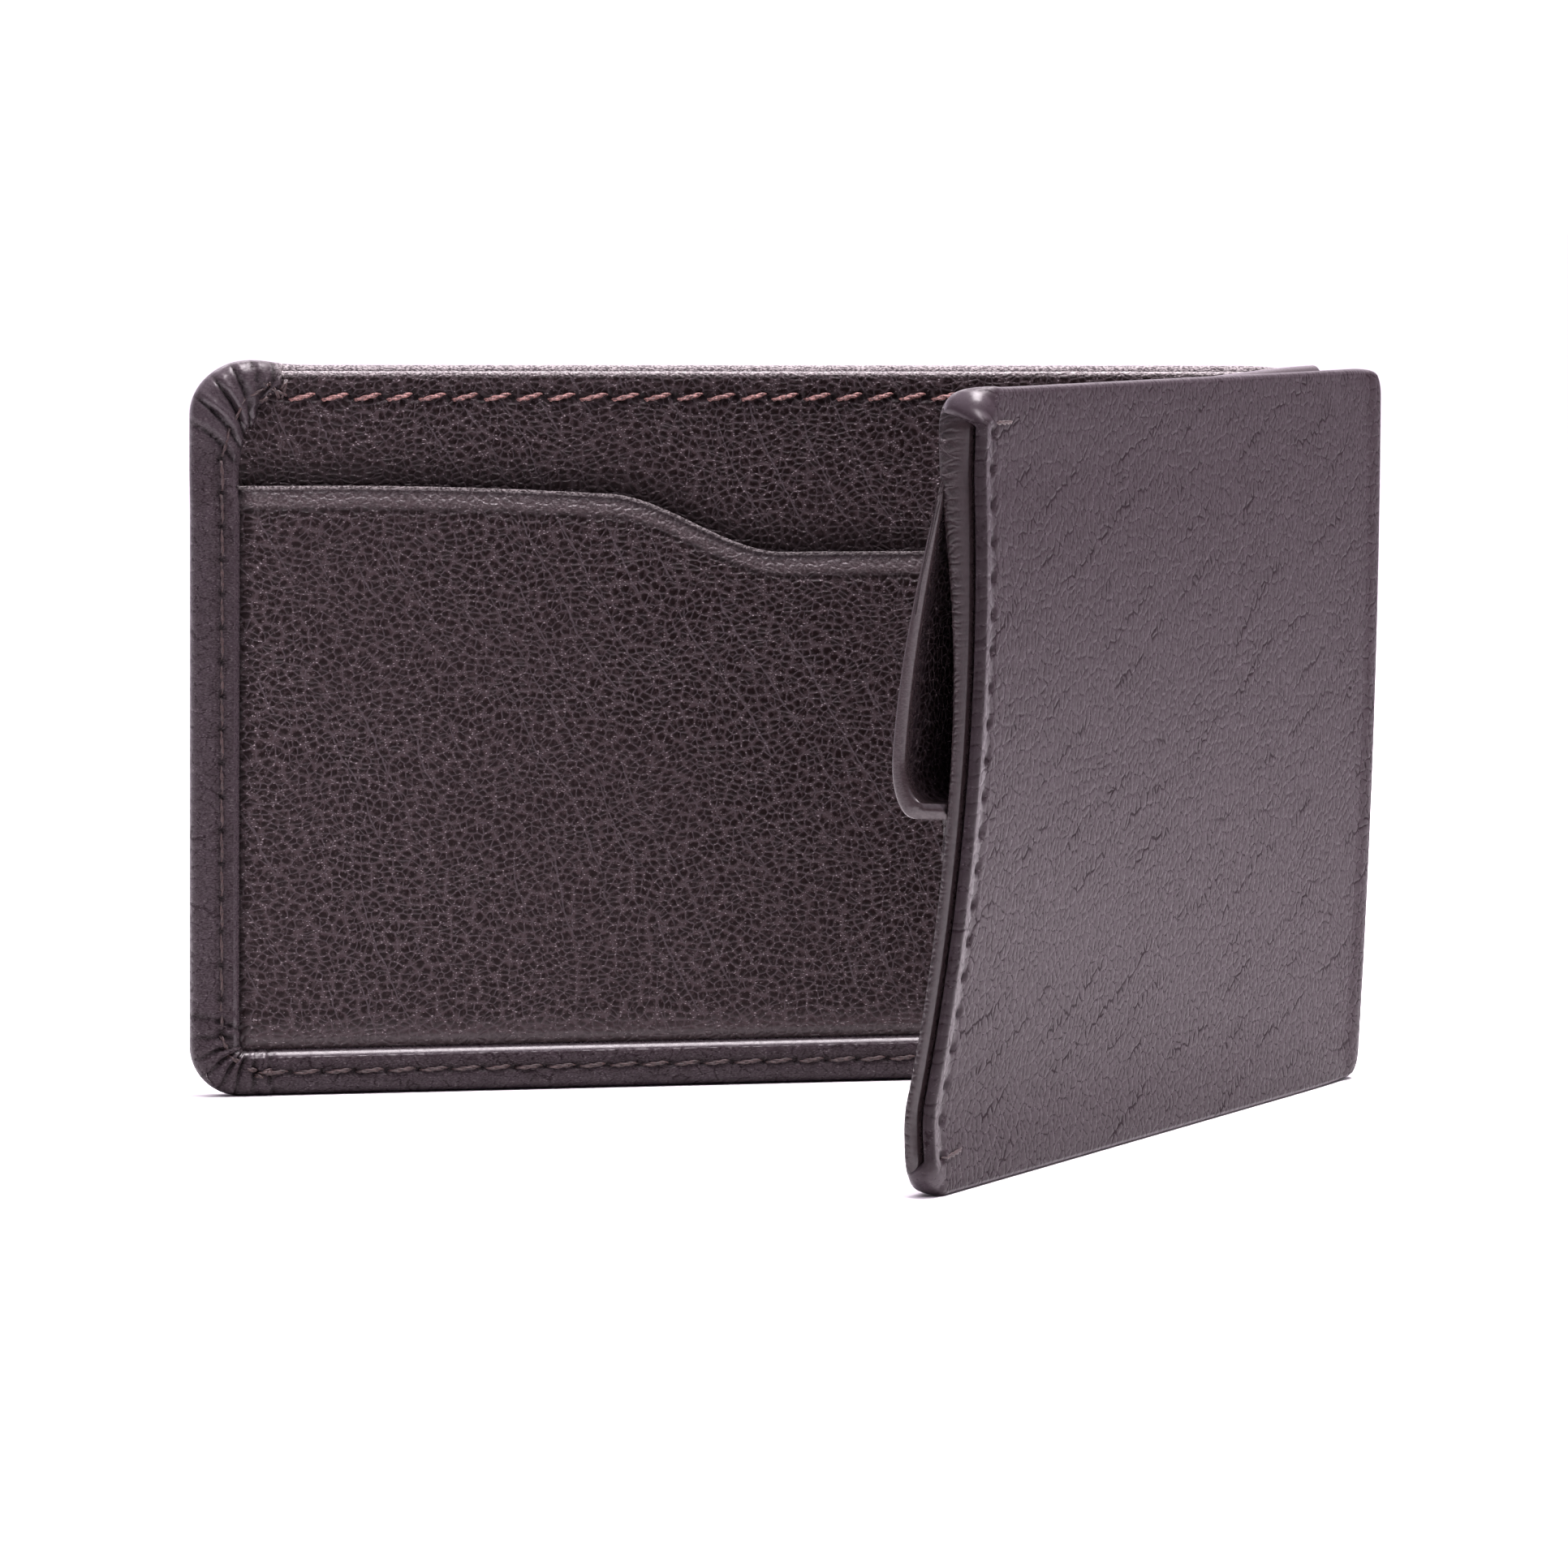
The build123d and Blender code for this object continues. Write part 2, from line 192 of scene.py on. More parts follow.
def piece(name, flat, faces, half, material, nodes=(), bends=False, look=None):
    """A mesh piece from flat points. look has each point's painted shadow, polish and share of the
    pale cut edge colour, which also paints highlights, 0 to 1.
    """
    mesh = bpy.data.meshes.new(name)
    mesh.from_pydata(place(flat, half, bends).tolist(), [], [list(map(int, f)) for f in faces])
    spot = mesh.attributes.new("flat", "FLOAT_VECTOR", "POINT")
    spot.data.foreach_set("vector", flat[:, (0, 2, 1)].astype(np.float32).ravel())
    if look is not None:
        looks = mesh.attributes.new("look", "FLOAT_VECTOR", "POINT")
        looks.data.foreach_set("vector", np.clip(look, 0, 1).astype(np.float32).ravel())
    work = bmesh.new()
    work.from_mesh(mesh)
    bmesh.ops.recalc_face_normals(work, faces=work.faces)
    work.to_mesh(mesh)
    work.free()
    mesh.shade_smooth()
    mesh.materials.append(material)
    obj = add_object(name, mesh)
    if bends:
        blend_over_fold(obj)
    else:
        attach(obj, half)
    if nodes:
        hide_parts(*nodes)


def to_flat(points, n, half):
    """(u, z) points of a half and their depths as flat points."""
    u, z = points.T
    x = u - HALF_W if half == "back" else COVER_END - u
    return np.column_stack([x, np.broadcast_to(n, u.shape), z])


def spread(start, end, step):
    """Evenly spaced values between two ends, which they leave free."""
    count = max(2, round(abs(end - start) / step))
    return start + (end - start) * (np.arange(count) + 0.5) / count


class Outline:
    """A rounded rectangle in (u, z) whose columns run inwards from its edge: straight in to its
    base, then on to its core, a line along the middle. Open ones leave out the side towards the
    fold. Columns i and -1 - i face each other across the middle."""

    ARC_COLUMNS = 36
    BASE_SHARE = 0.85           # the base's inset, as a share of the smallest corner's radius
    DEPTH_SHARE = 0.99          # the core's inset, as a share of half the height
    CORE_W = 0.02               # what is left of the base's height at the core

    def __init__(self, low_u, high_u, low_z, high_z, free_r, fold_r=0.0, step=0.4):
        self.open = fold_r <= 0
        self.skeleton = self.BASE_SHARE * (free_r if self.open else min(free_r, fold_r))
        middle = (low_z + high_z) / 2
        top = self.upper_half(low_u, high_u, middle, high_z, free_r, fold_r, step)
        bottom = top[::-1] * (1, -1, 1, -1) + (0, low_z + high_z, 0, 0)
        both = np.concatenate([top, bottom])
        self.edge, self.normal = both[:, :2], both[:, 2:]
        self.base = self.edge - self.normal * self.skeleton
        self.depth = (high_z - low_z) / 2 * self.DEPTH_SHARE
        self.swell = np.zeros(len(self.edge))
        centre_u = high_u if self.open else (low_u + high_u) / 2
        span = (high_u - low_u) if self.open else (high_u - low_u) / 2
        shrink = (span - self.depth) / (span - self.skeleton)
        off = self.base[:, 1] - middle
        round_end = self.normal[:, 0] * np.sqrt(np.maximum(np.max(off) ** 2 - off ** 2, 0))
        core_u = centre_u + (self.base[:, 0] - centre_u) * shrink + round_end * self.CORE_W
        self.core = np.column_stack([core_u, middle + off * self.CORE_W])

    def upper_half(self, low_u, high_u, middle, high_z, free_r, fold_r, step):
        """Places and normals (u, z, normal's u, normal's z) from the fold to the free edge."""
        quarter = spread(0, math.pi / 2, math.pi / 2 / self.ARC_COLUMNS)
        top = []
        if not self.open:
            for z in spread(middle, high_z - fold_r, step):
                top.append((high_u, z, 1.0, 0.0))
            for a in quarter:
                c, s = math.cos(a), math.sin(a)
                top.append((high_u - fold_r * (1 - c), high_z - fold_r * (1 - s), c, s))
        side = spread(high_u - fold_r, low_u + free_r, step)
        if self.open:
            side[0] = high_u
        for u in side:
            top.append((u, high_z, 0.0, 1.0))
        for a in quarter:
            c, s = math.cos(a), math.sin(a)
            top.append((low_u + free_r * (1 - s), high_z - free_r * (1 - c), -s, c))
        for z in spread(high_z - free_r, middle, step):
            top.append((low_u, z, -1.0, 0.0))
        return np.array(top)

    def at(self, inset):
        """The outline drawn in by inset, one value or one for each column. Its edge stands out by
        swell, which fades away inwards."""
        inset = np.broadcast_to(inset, len(self.edge))[:, None]
        swell = self.swell[:, None] * np.clip(1 - inset / self.skeleton, 0.0, 1.0)
        near = self.edge - self.normal * (inset - swell)
        share = (inset - self.skeleton) / (self.depth - self.skeleton)
        far = self.base + (self.core - self.base) * np.clip(share, 0.0, 1.0)
        return np.where(inset <= self.skeleton, near, far)


def loft(rows, is_open):
    """Faces through rows of equal length, the first and last zipped shut across the middle."""
    count = len(rows[0])
    i = np.arange(count - 1 if is_open else count)
    j = (i + 1) % count
    faces = [np.stack([r * count + i, r * count + j, (r + 1) * count + j, (r + 1) * count + i], 1)
             for r in range(len(rows) - 1)]
    k = np.arange(count // 2 - 1)
    for r in (0, len(rows) - 1):
        first = r * count
        faces.append(np.stack([first + k, first + k + 1,
                               first + count - 2 - k, first + count - 1 - k], 1))
    return np.concatenate(faces)


COARSE_STEP, FINE_STEP = 1.3, 0.28   # between a face's rows, in its middle and near its edge
ARC_ROWS = 7                    # over a quarter of a rounded edge


def plain(u, z):
    """No relief: rise, painted shadow, polish and the share of pale cut edge colour and painted
    highlight are all zero.
    """
    return 0 * u, 0 * u, 0 * u, 0 * u


def slab(name, outline, n_low, n_high, half, material, nodes=(), edge=(0.3, 0.3),
         relief=plain, warp=None, fine_to=5.0, rim_cut_edge_and_highlight=0.0):
    """A panel whose edges are rounded over edge, (in from the edge, in depth). relief(u, z) gives
    the inner face's rise, painted shadow, polish and share of pale cut edge colour with painted
    highlight, and warp(points) moves its (u, z) points. On the rounded rim a given share of the
    pale cut edge colour marks a raw edge and paints its highlight.
    Its rows are fine up to fine_to in from the edge."""
    edge_w, edge_n = edge[0], min(edge[1], (n_high - n_low) / 2)
    coarse = np.arange(outline.depth, fine_to, -COARSE_STEP)
    fine = np.linspace(fine_to, edge_w, round(fine_to / FINE_STEP))
    quarter = np.linspace(0, math.pi / 2, ARC_ROWS)[1:]
    rows = [(inset, n_high, 1.0, 0.0) for inset in (*coarse, *fine)]
    rows += [(edge_w * (1 - math.sin(a)), n_high - edge_n * (1 - math.cos(a)), math.cos(a),
              math.sin(a)) for a in quarter]
    rows += [(edge_w * (1 - math.cos(a)), n_low + edge_n * (1 - math.sin(a)), 0.0, math.cos(a))
             for a in quarter]
    rows += [(inset, n_low, 0.0, 0.0) for inset in (fine_to, outline.depth)]
    flats, looks = [], []
    for inset, n, weight, edge_share in rows:
        points = outline.at(inset)
        if warp:
            points = warp(points)
        rise, shadow, polish, cut_edge_and_highlight = relief(*points.T)
        polish = np.maximum(polish, 1 - weight)
        flats.append(to_flat(points, n + rise * weight, half))
        # The rounded rim takes the pale cut edge colour: a raw edge that also paints its highlight
        # on the card pocket's lip, a painted highlight on the liner's edge
        cut_edge_and_highlight = np.maximum(cut_edge_and_highlight * weight, rim_cut_edge_and_highlight * edge_share)
        looks.append(np.column_stack([shadow, polish, cut_edge_and_highlight]))
    piece(name, np.concatenate(flats), loft(flats, outline.open), half, material, nodes,
          look=np.concatenate(looks))


HEM_SHARE = {"edge": 0.0, "roll": 0.6, "hem": 1.0, "rim": 0.5}   # of the hem's relief
EDGE_POLISH = {"edge": 0.3, "roll": 0.12, "hem": 0.0, "rim": 0.9}
ROLL_SHARE = 0.44               # the rolled edge's radius, as a share of its whole depth
RIM_SHARE, RIM_MOST = 0.9, 0.85      # the rim's rounding, as a share of its height and at most
RIM_SQUARE = 1.4                # how much squarer than an arc the rim is
SKIN_FINE_TO = 5.5
FACE_ROWS, SKIN_ARC_ROWS, HEM_ROWS = 19, 8, 15
HEM_START = 0.06                # the hem's first row, as a share of its way in from the roll


def skin_rows(depth, top_n, seat_n, width):
    """Rows round a skin's edge, as (inset, n, part): over its outer face and the rolled edge, in
    over the hem to its rounded rim, then back out below it and in over the inner face."""
    roll = ROLL_SHARE * top_n
    rim = np.minimum(RIM_MOST, RIM_SHARE * (top_n - seat_n))
    quarter = np.linspace(0, math.pi / 2, SKIN_ARC_ROWS)[1:]
    rows = [(inset, 0.0, "face") for inset in np.arange(depth, SKIN_FINE_TO, -COARSE_STEP)]
    rows += [(roll + (SKIN_FINE_TO - roll) * t, 0.0, "face") for t in np.linspace(1, 0, FACE_ROWS)]
    rows += [(roll * (1 - math.sin(a)), roll * (1 - math.cos(a)), "edge") for a in quarter]
    rows += [(roll * (1 - math.cos(a)), top_n - roll * (1 - math.sin(a)), "roll")
             for a in (0.0, *quarter)]
    rows += [(roll + (width - rim - roll) * t, top_n, "hem")
             for t in np.linspace(HEM_START, 1, HEM_ROWS)]
    rows += [(width - rim * (1 - math.sin(a) ** RIM_SQUARE),
              top_n - rim * (1 - math.cos(a) ** RIM_SQUARE), "rim") for a in quarter]
    inner_edge = SKIN_T + 0.1
    rows += [(width, seat_n, "inside"), (inner_edge, seat_n, "inside")]
    rows += [(inset, SKIN_T, "inside") for inset in (inner_edge, SKIN_FINE_TO, depth)]
    return rows


def wrapped_skin(name, outline, half, nodes, top_n, seat_n, width, outer_relief, hem_relief):
    """Outer leather whose edge rolls over to the inner side. top_n, seat_n and width say for each
    column how high the turned leather comes, where it lies and how far in it reaches."""
    flats, looks = [], []
    for inset, n, part in skin_rows(outline.depth, top_n, seat_n, width):
        points = outline.at(inset)
        n = np.broadcast_to(n, len(points)).astype(float)
        rise, shadow, polish, cut_edge_and_highlight = plain(*points.T)
        if part == "face":
            rise, shadow, polish, cut_edge_and_highlight = outer_relief(*points.T)
            n = n - rise
        elif part != "inside":
            rise, shadow, polish, cut_edge_and_highlight = hem_relief(*points.T)
            n = n + rise * HEM_SHARE[part]
            polish = np.maximum(polish, EDGE_POLISH[part])
        flats.append(to_flat(points, n, half))
        looks.append(np.column_stack([shadow, polish, cut_edge_and_highlight]))
    piece(name, np.concatenate(flats), loft(flats, outline.open), half, OUTER,
          nodes, True, np.concatenate(looks))


# Seams ----------------------------------------------------------------
def needle_holes(start, end):
    """Needle holes along a straight seam from start to end, both (u, z)."""
    start, end = np.array(start, float), np.array(end, float)
    count = round(np.linalg.norm(end - start) / PITCH)
    return start + (end - start) * np.linspace(0, 1, count + 1)[:, None]


TOP_HOLES = needle_holes((8.8, HEIGHT - TOP_SEAM), (HALF_W - 2, HEIGHT - TOP_SEAM))
SIDE_HOLES = needle_holes((SIDE_SEAM, HEIGHT - 8.5), (SIDE_SEAM, 6.0))
LOW_HOLES = needle_holes((6.0, LOW_SEAM), (HALF_W - 3.5, LOW_SEAM))
COVER_HOLES = needle_holes((COVER_SEAM, HEIGHT - 3.6), (COVER_SEAM, 3.4))
HIGH_CORNER_HOLES = np.array([(8.8, HEIGHT - TOP_SEAM), (6.9, HEIGHT - 2.0), (4.9, HEIGHT - 2.9),
                              (3.5, HEIGHT - 5.4), (SIDE_SEAM, HEIGHT - 8.5)])
LOW_CORNER_HOLES = np.array([(SIDE_SEAM, 6.0), (3.0, 4.1), (4.4, 2.9), (6.0, LOW_SEAM)])

GROOVE_W, HOLE_R, PUCKER_R = 0.7, 0.30, 0.6


def seam_relief(u, z, holes, groove, hole):
    """How a seam draws the leather down by groove between its needle holes and by hole at them,
    and its shadow."""
    pitch = np.linalg.norm(holes[1] - holes[0])
    along = (holes[1] - holes[0]) / pitch
    offset = np.column_stack([u, z]) - holes[0]
    run = offset @ along
    across = offset @ np.array([-along[1], along[0]])
    nearest = np.clip(np.round(run / pitch), 0, len(holes) - 1) * pitch
    length = (len(holes) - 1) * pitch
    beyond = np.maximum(np.maximum(-run, run - length), 0)
    line = dip(across, GROOVE_W) * dip(beyond, GROOVE_W)
    spot = dip(np.hypot(across, run - nearest), HOLE_R)
    pucker = dip(np.hypot(across - GROOVE_W, run - nearest), PUCKER_R)
    rise = -groove * line - hole * spot + 0.25 * hole * pucker
    return rise, np.clip(0.25 * line + 1.2 * spot, 0, 1)


def seams_relief(u, z, seams, groove=0.10, hole=0.4):
    """The relief of several seams together."""
    parts = [seam_relief(u, z, holes, groove, hole) for holes in seams]
    return sum(rise for rise, _ in parts), np.maximum.reduce([shadow for _, shadow in parts])


STITCH_ROWS, STITCH_SIDES = 15, 7
PLY_OFFSET, PLY_R = 0.42, 0.66  # shares of the thread's radius
PLY_TWIST = 1.9                 # length of a full turn of the plies
STITCH_RISE = 0.6               # how far a stitch stands out, as a share of its radius
STITCH_SUNK = 0.25              # how deep its ends are in the leather
STITCH_WOBBLE = 0.06


def thread_stitch(start, end, radius):
    """One stitch of two-ply thread, as points (u, z, height above the leather) and faces."""
    along = end - start
    length = np.linalg.norm(along)
    along = along / length
    across = np.array([-along[1], along[0]])
    t = np.linspace(0.0, 1.0, STITCH_ROWS)
    arch = np.sin(np.pi * t) ** 0.6
    around = np.linspace(0, 2 * np.pi, STITCH_SIDES, endpoint=False)
    verts, faces = [], []
    for ply in range(2):
        twist = 2 * np.pi * t * length / PLY_TWIST + ply * np.pi
        side = PLY_OFFSET * radius * np.cos(twist)
        lift = PLY_OFFSET * radius * np.sin(twist)
        lift += STITCH_RISE * radius * arch - STITCH_SUNK * (1 - arch)
        thick = PLY_R * radius * (0.45 + 0.55 * arch)
        first = len(verts)
        for k in range(STITCH_ROWS):
            for a in around:
                spot = start + along * length * t[k] + across * (side[k] + thick[k] * np.cos(a))
                verts.append((*spot, lift[k] + thick[k] * np.sin(a)))
        for k in range(STITCH_ROWS - 1):
            for a in range(STITCH_SIDES):
                b = (a + 1) % STITCH_SIDES
                low, high = first + k * STITCH_SIDES, first + (k + 1) * STITCH_SIDES
                faces.append((low + a, low + b, high + b, high + a))
        for k in (0, STITCH_ROWS - 1):
            faces.append(tuple(first + k * STITCH_SIDES + a for a in range(STITCH_SIDES)))
    return np.array(verts), faces


def seam_thread(name, runs, half, material, nodes, radius=0.2, slant=0.1, inset=0.2):
    """Stitches of several runs of holes. A run is (holes, depth of the surface, side), where side
    is 1 on the inner face and -1 on the outer. Each stitch is turned by slant across the seam and
    starts and ends inset from its holes."""
    flats, faces = [], []
    total = 0
    for holes, n_surface, side in runs:
        for start, end in zip(holes[:-1], holes[1:]):
            along = (end - start) / np.linalg.norm(end - start)
            across = np.array([-along[1], along[0]]) * slant * side
            wobble = RANDOM.normal(0, STITCH_WOBBLE, 2)
            a = start + along * (inset + wobble[0]) - across
            b = end - along * (inset + wobble[1]) + across
            verts, made = thread_stitch(a, b, radius)
            flats.append(to_flat(verts[:, :2], n_surface + side * verts[:, 2], half))
            faces += [tuple(total + v for v in face) for face in made]
            total += len(verts)
    piece(name, np.concatenate(flats), faces, half, material, nodes)


def tangle(centre, count, reach):
    """Needle holes of a knotted thread end, within about reach of its centre."""
    return np.array(centre) + RANDOM.normal(0, reach, (count, 2))


# Materials ------------------------------------------------------------
WAVE_UNIT = math.pi / 10        # the wave texture's scale at one band for each unit
MIX_A, MIX_B, MIX_COLOUR = 6, 7, 2   # the mix node's colour sockets


class Nodes:
    """The node tree of a material or a world, with short calls for the nodes it needs."""

    def __init__(self, owner):
        owner.use_nodes = True
        self.owner = owner
        self.tree = owner.node_tree

    def wire(self, value, socket):
        if isinstance(value, bpy.types.NodeSocket):
            self.tree.links.new(value, socket)
        else:
            socket.default_value = value

    def finish(self, node_name, **inputs):
        """Wires the tree's last node and returns the tree's owner."""
        for key, value in inputs.items():
            self.wire(value, self.tree.nodes[node_name].inputs[key.replace("_", " ")])
        return self.owner

    def node(self, kind, output, inputs, **settings):
        """A new node's output, or all its outputs when output is None."""
        node = self.tree.nodes.new(kind)
        for key, value in settings.items():
            setattr(node, key, value)
        for key, value in inputs.items():
            self.wire(value, node.inputs[key])
        return node.outputs if output is None else node.outputs[output]

    def attribute(self, name):
        return self.node("ShaderNodeAttribute", "Vector", {}, attribute_name=name)

    def coordinates(self, kind):
        return self.node("ShaderNodeTexCoord", kind, {})

    def split(self, vector):
        return self.node("ShaderNodeSeparateXYZ", None, {0: vector})

    def math(self, operation, a, b=0.0, clamp=False):
        return self.node("ShaderNodeMath", 0, {0: a, 1: b}, operation=operation, use_clamp=clamp)

    def scaled(self, vector, scale, shift=(0.0, 0.0, 0.0)):
        return self.node("ShaderNodeVectorMath", 0, {0: vector, 1: scale, 2: shift},
                         operation="MULTIPLY_ADD")

    def noise(self, vector, scale, detail=3.0, output="Fac"):
        return self.node("ShaderNodeTexNoise", output,
                         {"Vector": vector, "Scale": scale, "Detail": detail})

    def cells(self, vector, feature):
        return self.node("ShaderNodeTexVoronoi", "Distance", {"Vector": vector, "Scale": 1.0},
                         voronoi_dimensions="2D", feature=feature)

    def wave(self, vector, scale, direction, distortion=0.0, detail=2.0, detail_scale=1.0):
        return self.node("ShaderNodeTexWave", "Fac",
                         {"Vector": vector, "Scale": scale, "Distortion": distortion,
                          "Detail": detail, "Detail Scale": detail_scale},
                         wave_type="BANDS", bands_direction=direction)

    def bands(self, vector, angle, scale, distortion):
        """Wavy bands across the sheet, turned by angle, scale of them for each unit."""
        turned = self.node("ShaderNodeMapping", "Vector",
                           {"Vector": vector, "Rotation": (0.0, 0.0, angle)}, vector_type="POINT")
        return self.wave(turned, scale * WAVE_UNIT, "X", distortion, 1.0, 0.4)

    def spread(self, value, low, high, to_low=0.0, to_high=1.0, course="SMOOTHSTEP"):
        """Maps low..high to to_low..to_high."""
        return self.node("ShaderNodeMapRange", "Result",
                         {"Value": value, "From Min": low, "From Max": high, "To Min": to_low,
                          "To Max": to_high}, interpolation_type=course)

    def mix(self, share, a, b):
        return self.node("ShaderNodeMix", MIX_COLOUR, {"Factor": share, MIX_A: a, MIX_B: b},
                         data_type="RGBA")

    def bump(self, height, strength, distance):
        return self.node("ShaderNodeBump", "Normal",
                         {"Height": height, "Strength": strength, "Distance": distance})


# GLINT is a painted highlight and DEEP_SHADOW painted shade, both mixed into the leather's colour
GLINT = (0.30, 0.26, 0.27, 1.0)
DEEP_SHADOW = (0.003, 0.0015, 0.0015, 1.0)
# Pale cut edge colour: a raw leather edge in places, and a painted highlight on top-facing edges
# and in specks on the hems
CUT_EDGE_AND_HIGHLIGHT = (0.45, 0.42, 0.415, 1.0)

# Noises of the leather, in waves for each millimetre, and how far they shift its grain
DRIFT_WAVES, DRIFT = 0.12, 2.4
SHAKE_WAVES, SHAKE = 0.9, 0.5
PATCH_WAVES, MOTTLE_WAVES, GLINT_WAVES = 0.08, 2.6, 4.0
CREASE_SPACING, CREASE_SWAY = 3.8, 7.0   # the spacing is in widths of a hollow


def leather_grain(made, flat, polish, cell, crease):
    """The patterns of pebbled leather, 0 to 1, by name: how deep the grain is (depth), its hollows
    (pit), the net of lines between them (edge, rising away from a line, and thin), the long
    creases and two fine noises (mottle, glint)."""
    angle, crease_w, crease_reach = crease
    drift = made.scaled(made.noise(flat, DRIFT_WAVES, 1.0, "Color"), (DRIFT, DRIFT, 0.0), flat)
    shaken = made.scaled(made.noise(flat, SHAKE_WAVES, 2.0, "Color"), (SHAKE, SHAKE, 0.0), drift)
    cells = made.scaled(shaken, (1.0 / cell[0], 1.0 / cell[1], 1.0))
    middle = made.cells(cells, "F1")
    edge = made.cells(cells, "DISTANCE_TO_EDGE")
    patch = made.noise(flat, PATCH_WAVES, 2.0)
    mottle = made.noise(flat, MOTTLE_WAVES, 3.0)
    glint = made.noise(made.scaled(flat, (1.0, 2.0, 1.0)), GLINT_WAVES, 1.0)
    bands = made.bands(shaken, math.radians(angle), 1.0 / (CREASE_SPACING * cell[0]), CREASE_SWAY)
    creases = made.math("MULTIPLY", made.spread(bands, 1 - crease_w, 1 - crease_w / 4),
                        made.spread(made.noise(flat, DRIFT_WAVES, 1.0), 0.43, 0.56, 0.0, 0.8))
    near_net = made.spread(edge, crease_reach / 4, crease_reach, 1.0, 0.0)
    creases = made.math("MULTIPLY", creases, near_net)
    depth = made.math("MULTIPLY", made.spread(patch, 0.35, 0.6, 0.85, 1.0),
                      made.spread(polish, 0.0, 1.0, 1.0, 0.03))
    pit = made.math("MULTIPLY", made.spread(middle, 0.30, 0.60, 1.0, 0.0), depth)
    pit = made.math("MULTIPLY", pit, made.spread(mottle, 0.36, 0.50, 0.45, 1.0))
    thin = made.math("MULTIPLY", made.spread(edge, 0.01, 0.12, 1.0, 0.0),
                     made.spread(mottle, 0.4, 0.6, 0.2, 0.8))
    thin = made.math("MAXIMUM", thin, creases)
    thin = made.math("MULTIPLY", thin, depth)
    return SimpleNamespace(depth=depth, pit=pit, edge=edge, thin=thin, creases=creases,
                           mottle=mottle, glint=glint)


def leather_colour(made, grain, look, hollow, net, line, wrinkle):
    shadow, polish, cut_edge_and_highlight = look
    tone = made.mix(grain.pit, net, hollow)
    tone = made.mix(made.spread(grain.mottle, 0.48, 0.62, 0.0, 0.7), tone, hollow)
    tone = made.mix(grain.thin, tone, line)
    tone = made.mix(made.math("MULTIPLY", polish, 0.6), tone, net)
    # Painted glints: rare bright spots on the grain between its hollows, standing in for sparkling
    # highlights
    shine = made.math("MULTIPLY", made.spread(grain.glint, 0.645, 0.72),
                      made.math("SUBTRACT", grain.depth, grain.pit))
    tone = made.mix(made.math("MULTIPLY", shine, 0.7 * wrinkle, True), tone, GLINT)
    tone = made.mix(made.math("MULTIPLY", shadow, 0.88), tone, DEEP_SHADOW)
    # The pale cut edge colour in specks: a raw edge on cut edges, a painted highlight on top edges
    # and hems
    cut_edge_and_highlight_spots = made.math("MULTIPLY", cut_edge_and_highlight, made.spread(grain.glint, 0.40, 0.62, 0.1, 1.0))
    return made.mix(cut_edge_and_highlight_spots, tone, CUT_EDGE_AND_HIGHLIGHT)


def leather_height(made, grain, cut_edge_and_highlight, wrinkle):
    height = made.math("MULTIPLY", made.spread(grain.edge, 0.0, 0.3), grain.depth)
    height = made.math("SUBTRACT", height, made.math("MULTIPLY", grain.creases, grain.depth))
    wrinkles = made.math("MULTIPLY", made.math("MULTIPLY", grain.mottle, wrinkle), grain.depth)
    height = made.math("ADD", height, wrinkles)
    fibres = made.math("MULTIPLY", made.math("MULTIPLY", grain.glint, 4.0), cut_edge_and_highlight)
    return made.math("ADD", height, fibres)


def leather(name, hollow, net, line, cell, crease, relief, roughness, specular):
    """Pebbled leather: hollows in a net of lines, crossed by long creases, in these three colours.
    cell is a hollow's (width, height) in millimetres, crease the creases' (angle in degrees, share
    of their spacing, reach from the net's lines) and relief the (height in metres, share of fine
    wrinkles). Polished parts lose their grain. The look's pale share takes the leather's pale cut
    edge colour, which is a raw edge in places and a painted highlight on top-facing edges; glints
    are painted highlights and the look's shadow is painted shade."""
    height, wrinkle = relief
    made = Nodes(bpy.data.materials.new(name))
    look = made.split(made.attribute("look"))
    _, polish, cut_edge_and_highlight = look
    grain = leather_grain(made, made.attribute("flat"), polish, cell, crease)
    hollow, net, line = ((*colour, 1.0) for colour in (hollow, net, line))
    rough = made.spread(grain.mottle, 0.3, 0.7, roughness - 0.05, roughness + 0.05)
    rough = made.math("SUBTRACT", rough, made.math("MULTIPLY", polish, 0.22))
    mirror = made.math("ADD", made.math("MULTIPLY", polish, 0.3), specular)
    mirror = made.math("MULTIPLY", mirror, made.spread(grain.thin, 0.0, 1.0, 1.0, 0.1))
    return made.finish("Principled BSDF", Roughness=rough, Specular_IOR_Level=mirror,
                       Base_Color=leather_colour(made, grain, look, hollow, net, line, wrinkle),
                       Normal=made.bump(leather_height(made, grain, cut_edge_and_highlight, wrinkle), 1.0, height))


FIBRE_WAVES = 5.0
WEAVE_RELIEF = 0.00005          # height of the threads' fibres and of the weave, in metres


def thread_material(name, light, dark):
    made = Nodes(bpy.data.materials.new(name))
    fibre = made.noise(made.attribute("flat"), FIBRE_WAVES, 4.0)
    tone = made.mix(made.spread(fibre, 0.35, 0.65), (*dark, 1.0), (*light, 1.0))
    return made.finish("Principled BSDF", Base_Color=tone, Roughness=0.55,
                       Normal=made.bump(fibre, 0.5, WEAVE_RELIEF))


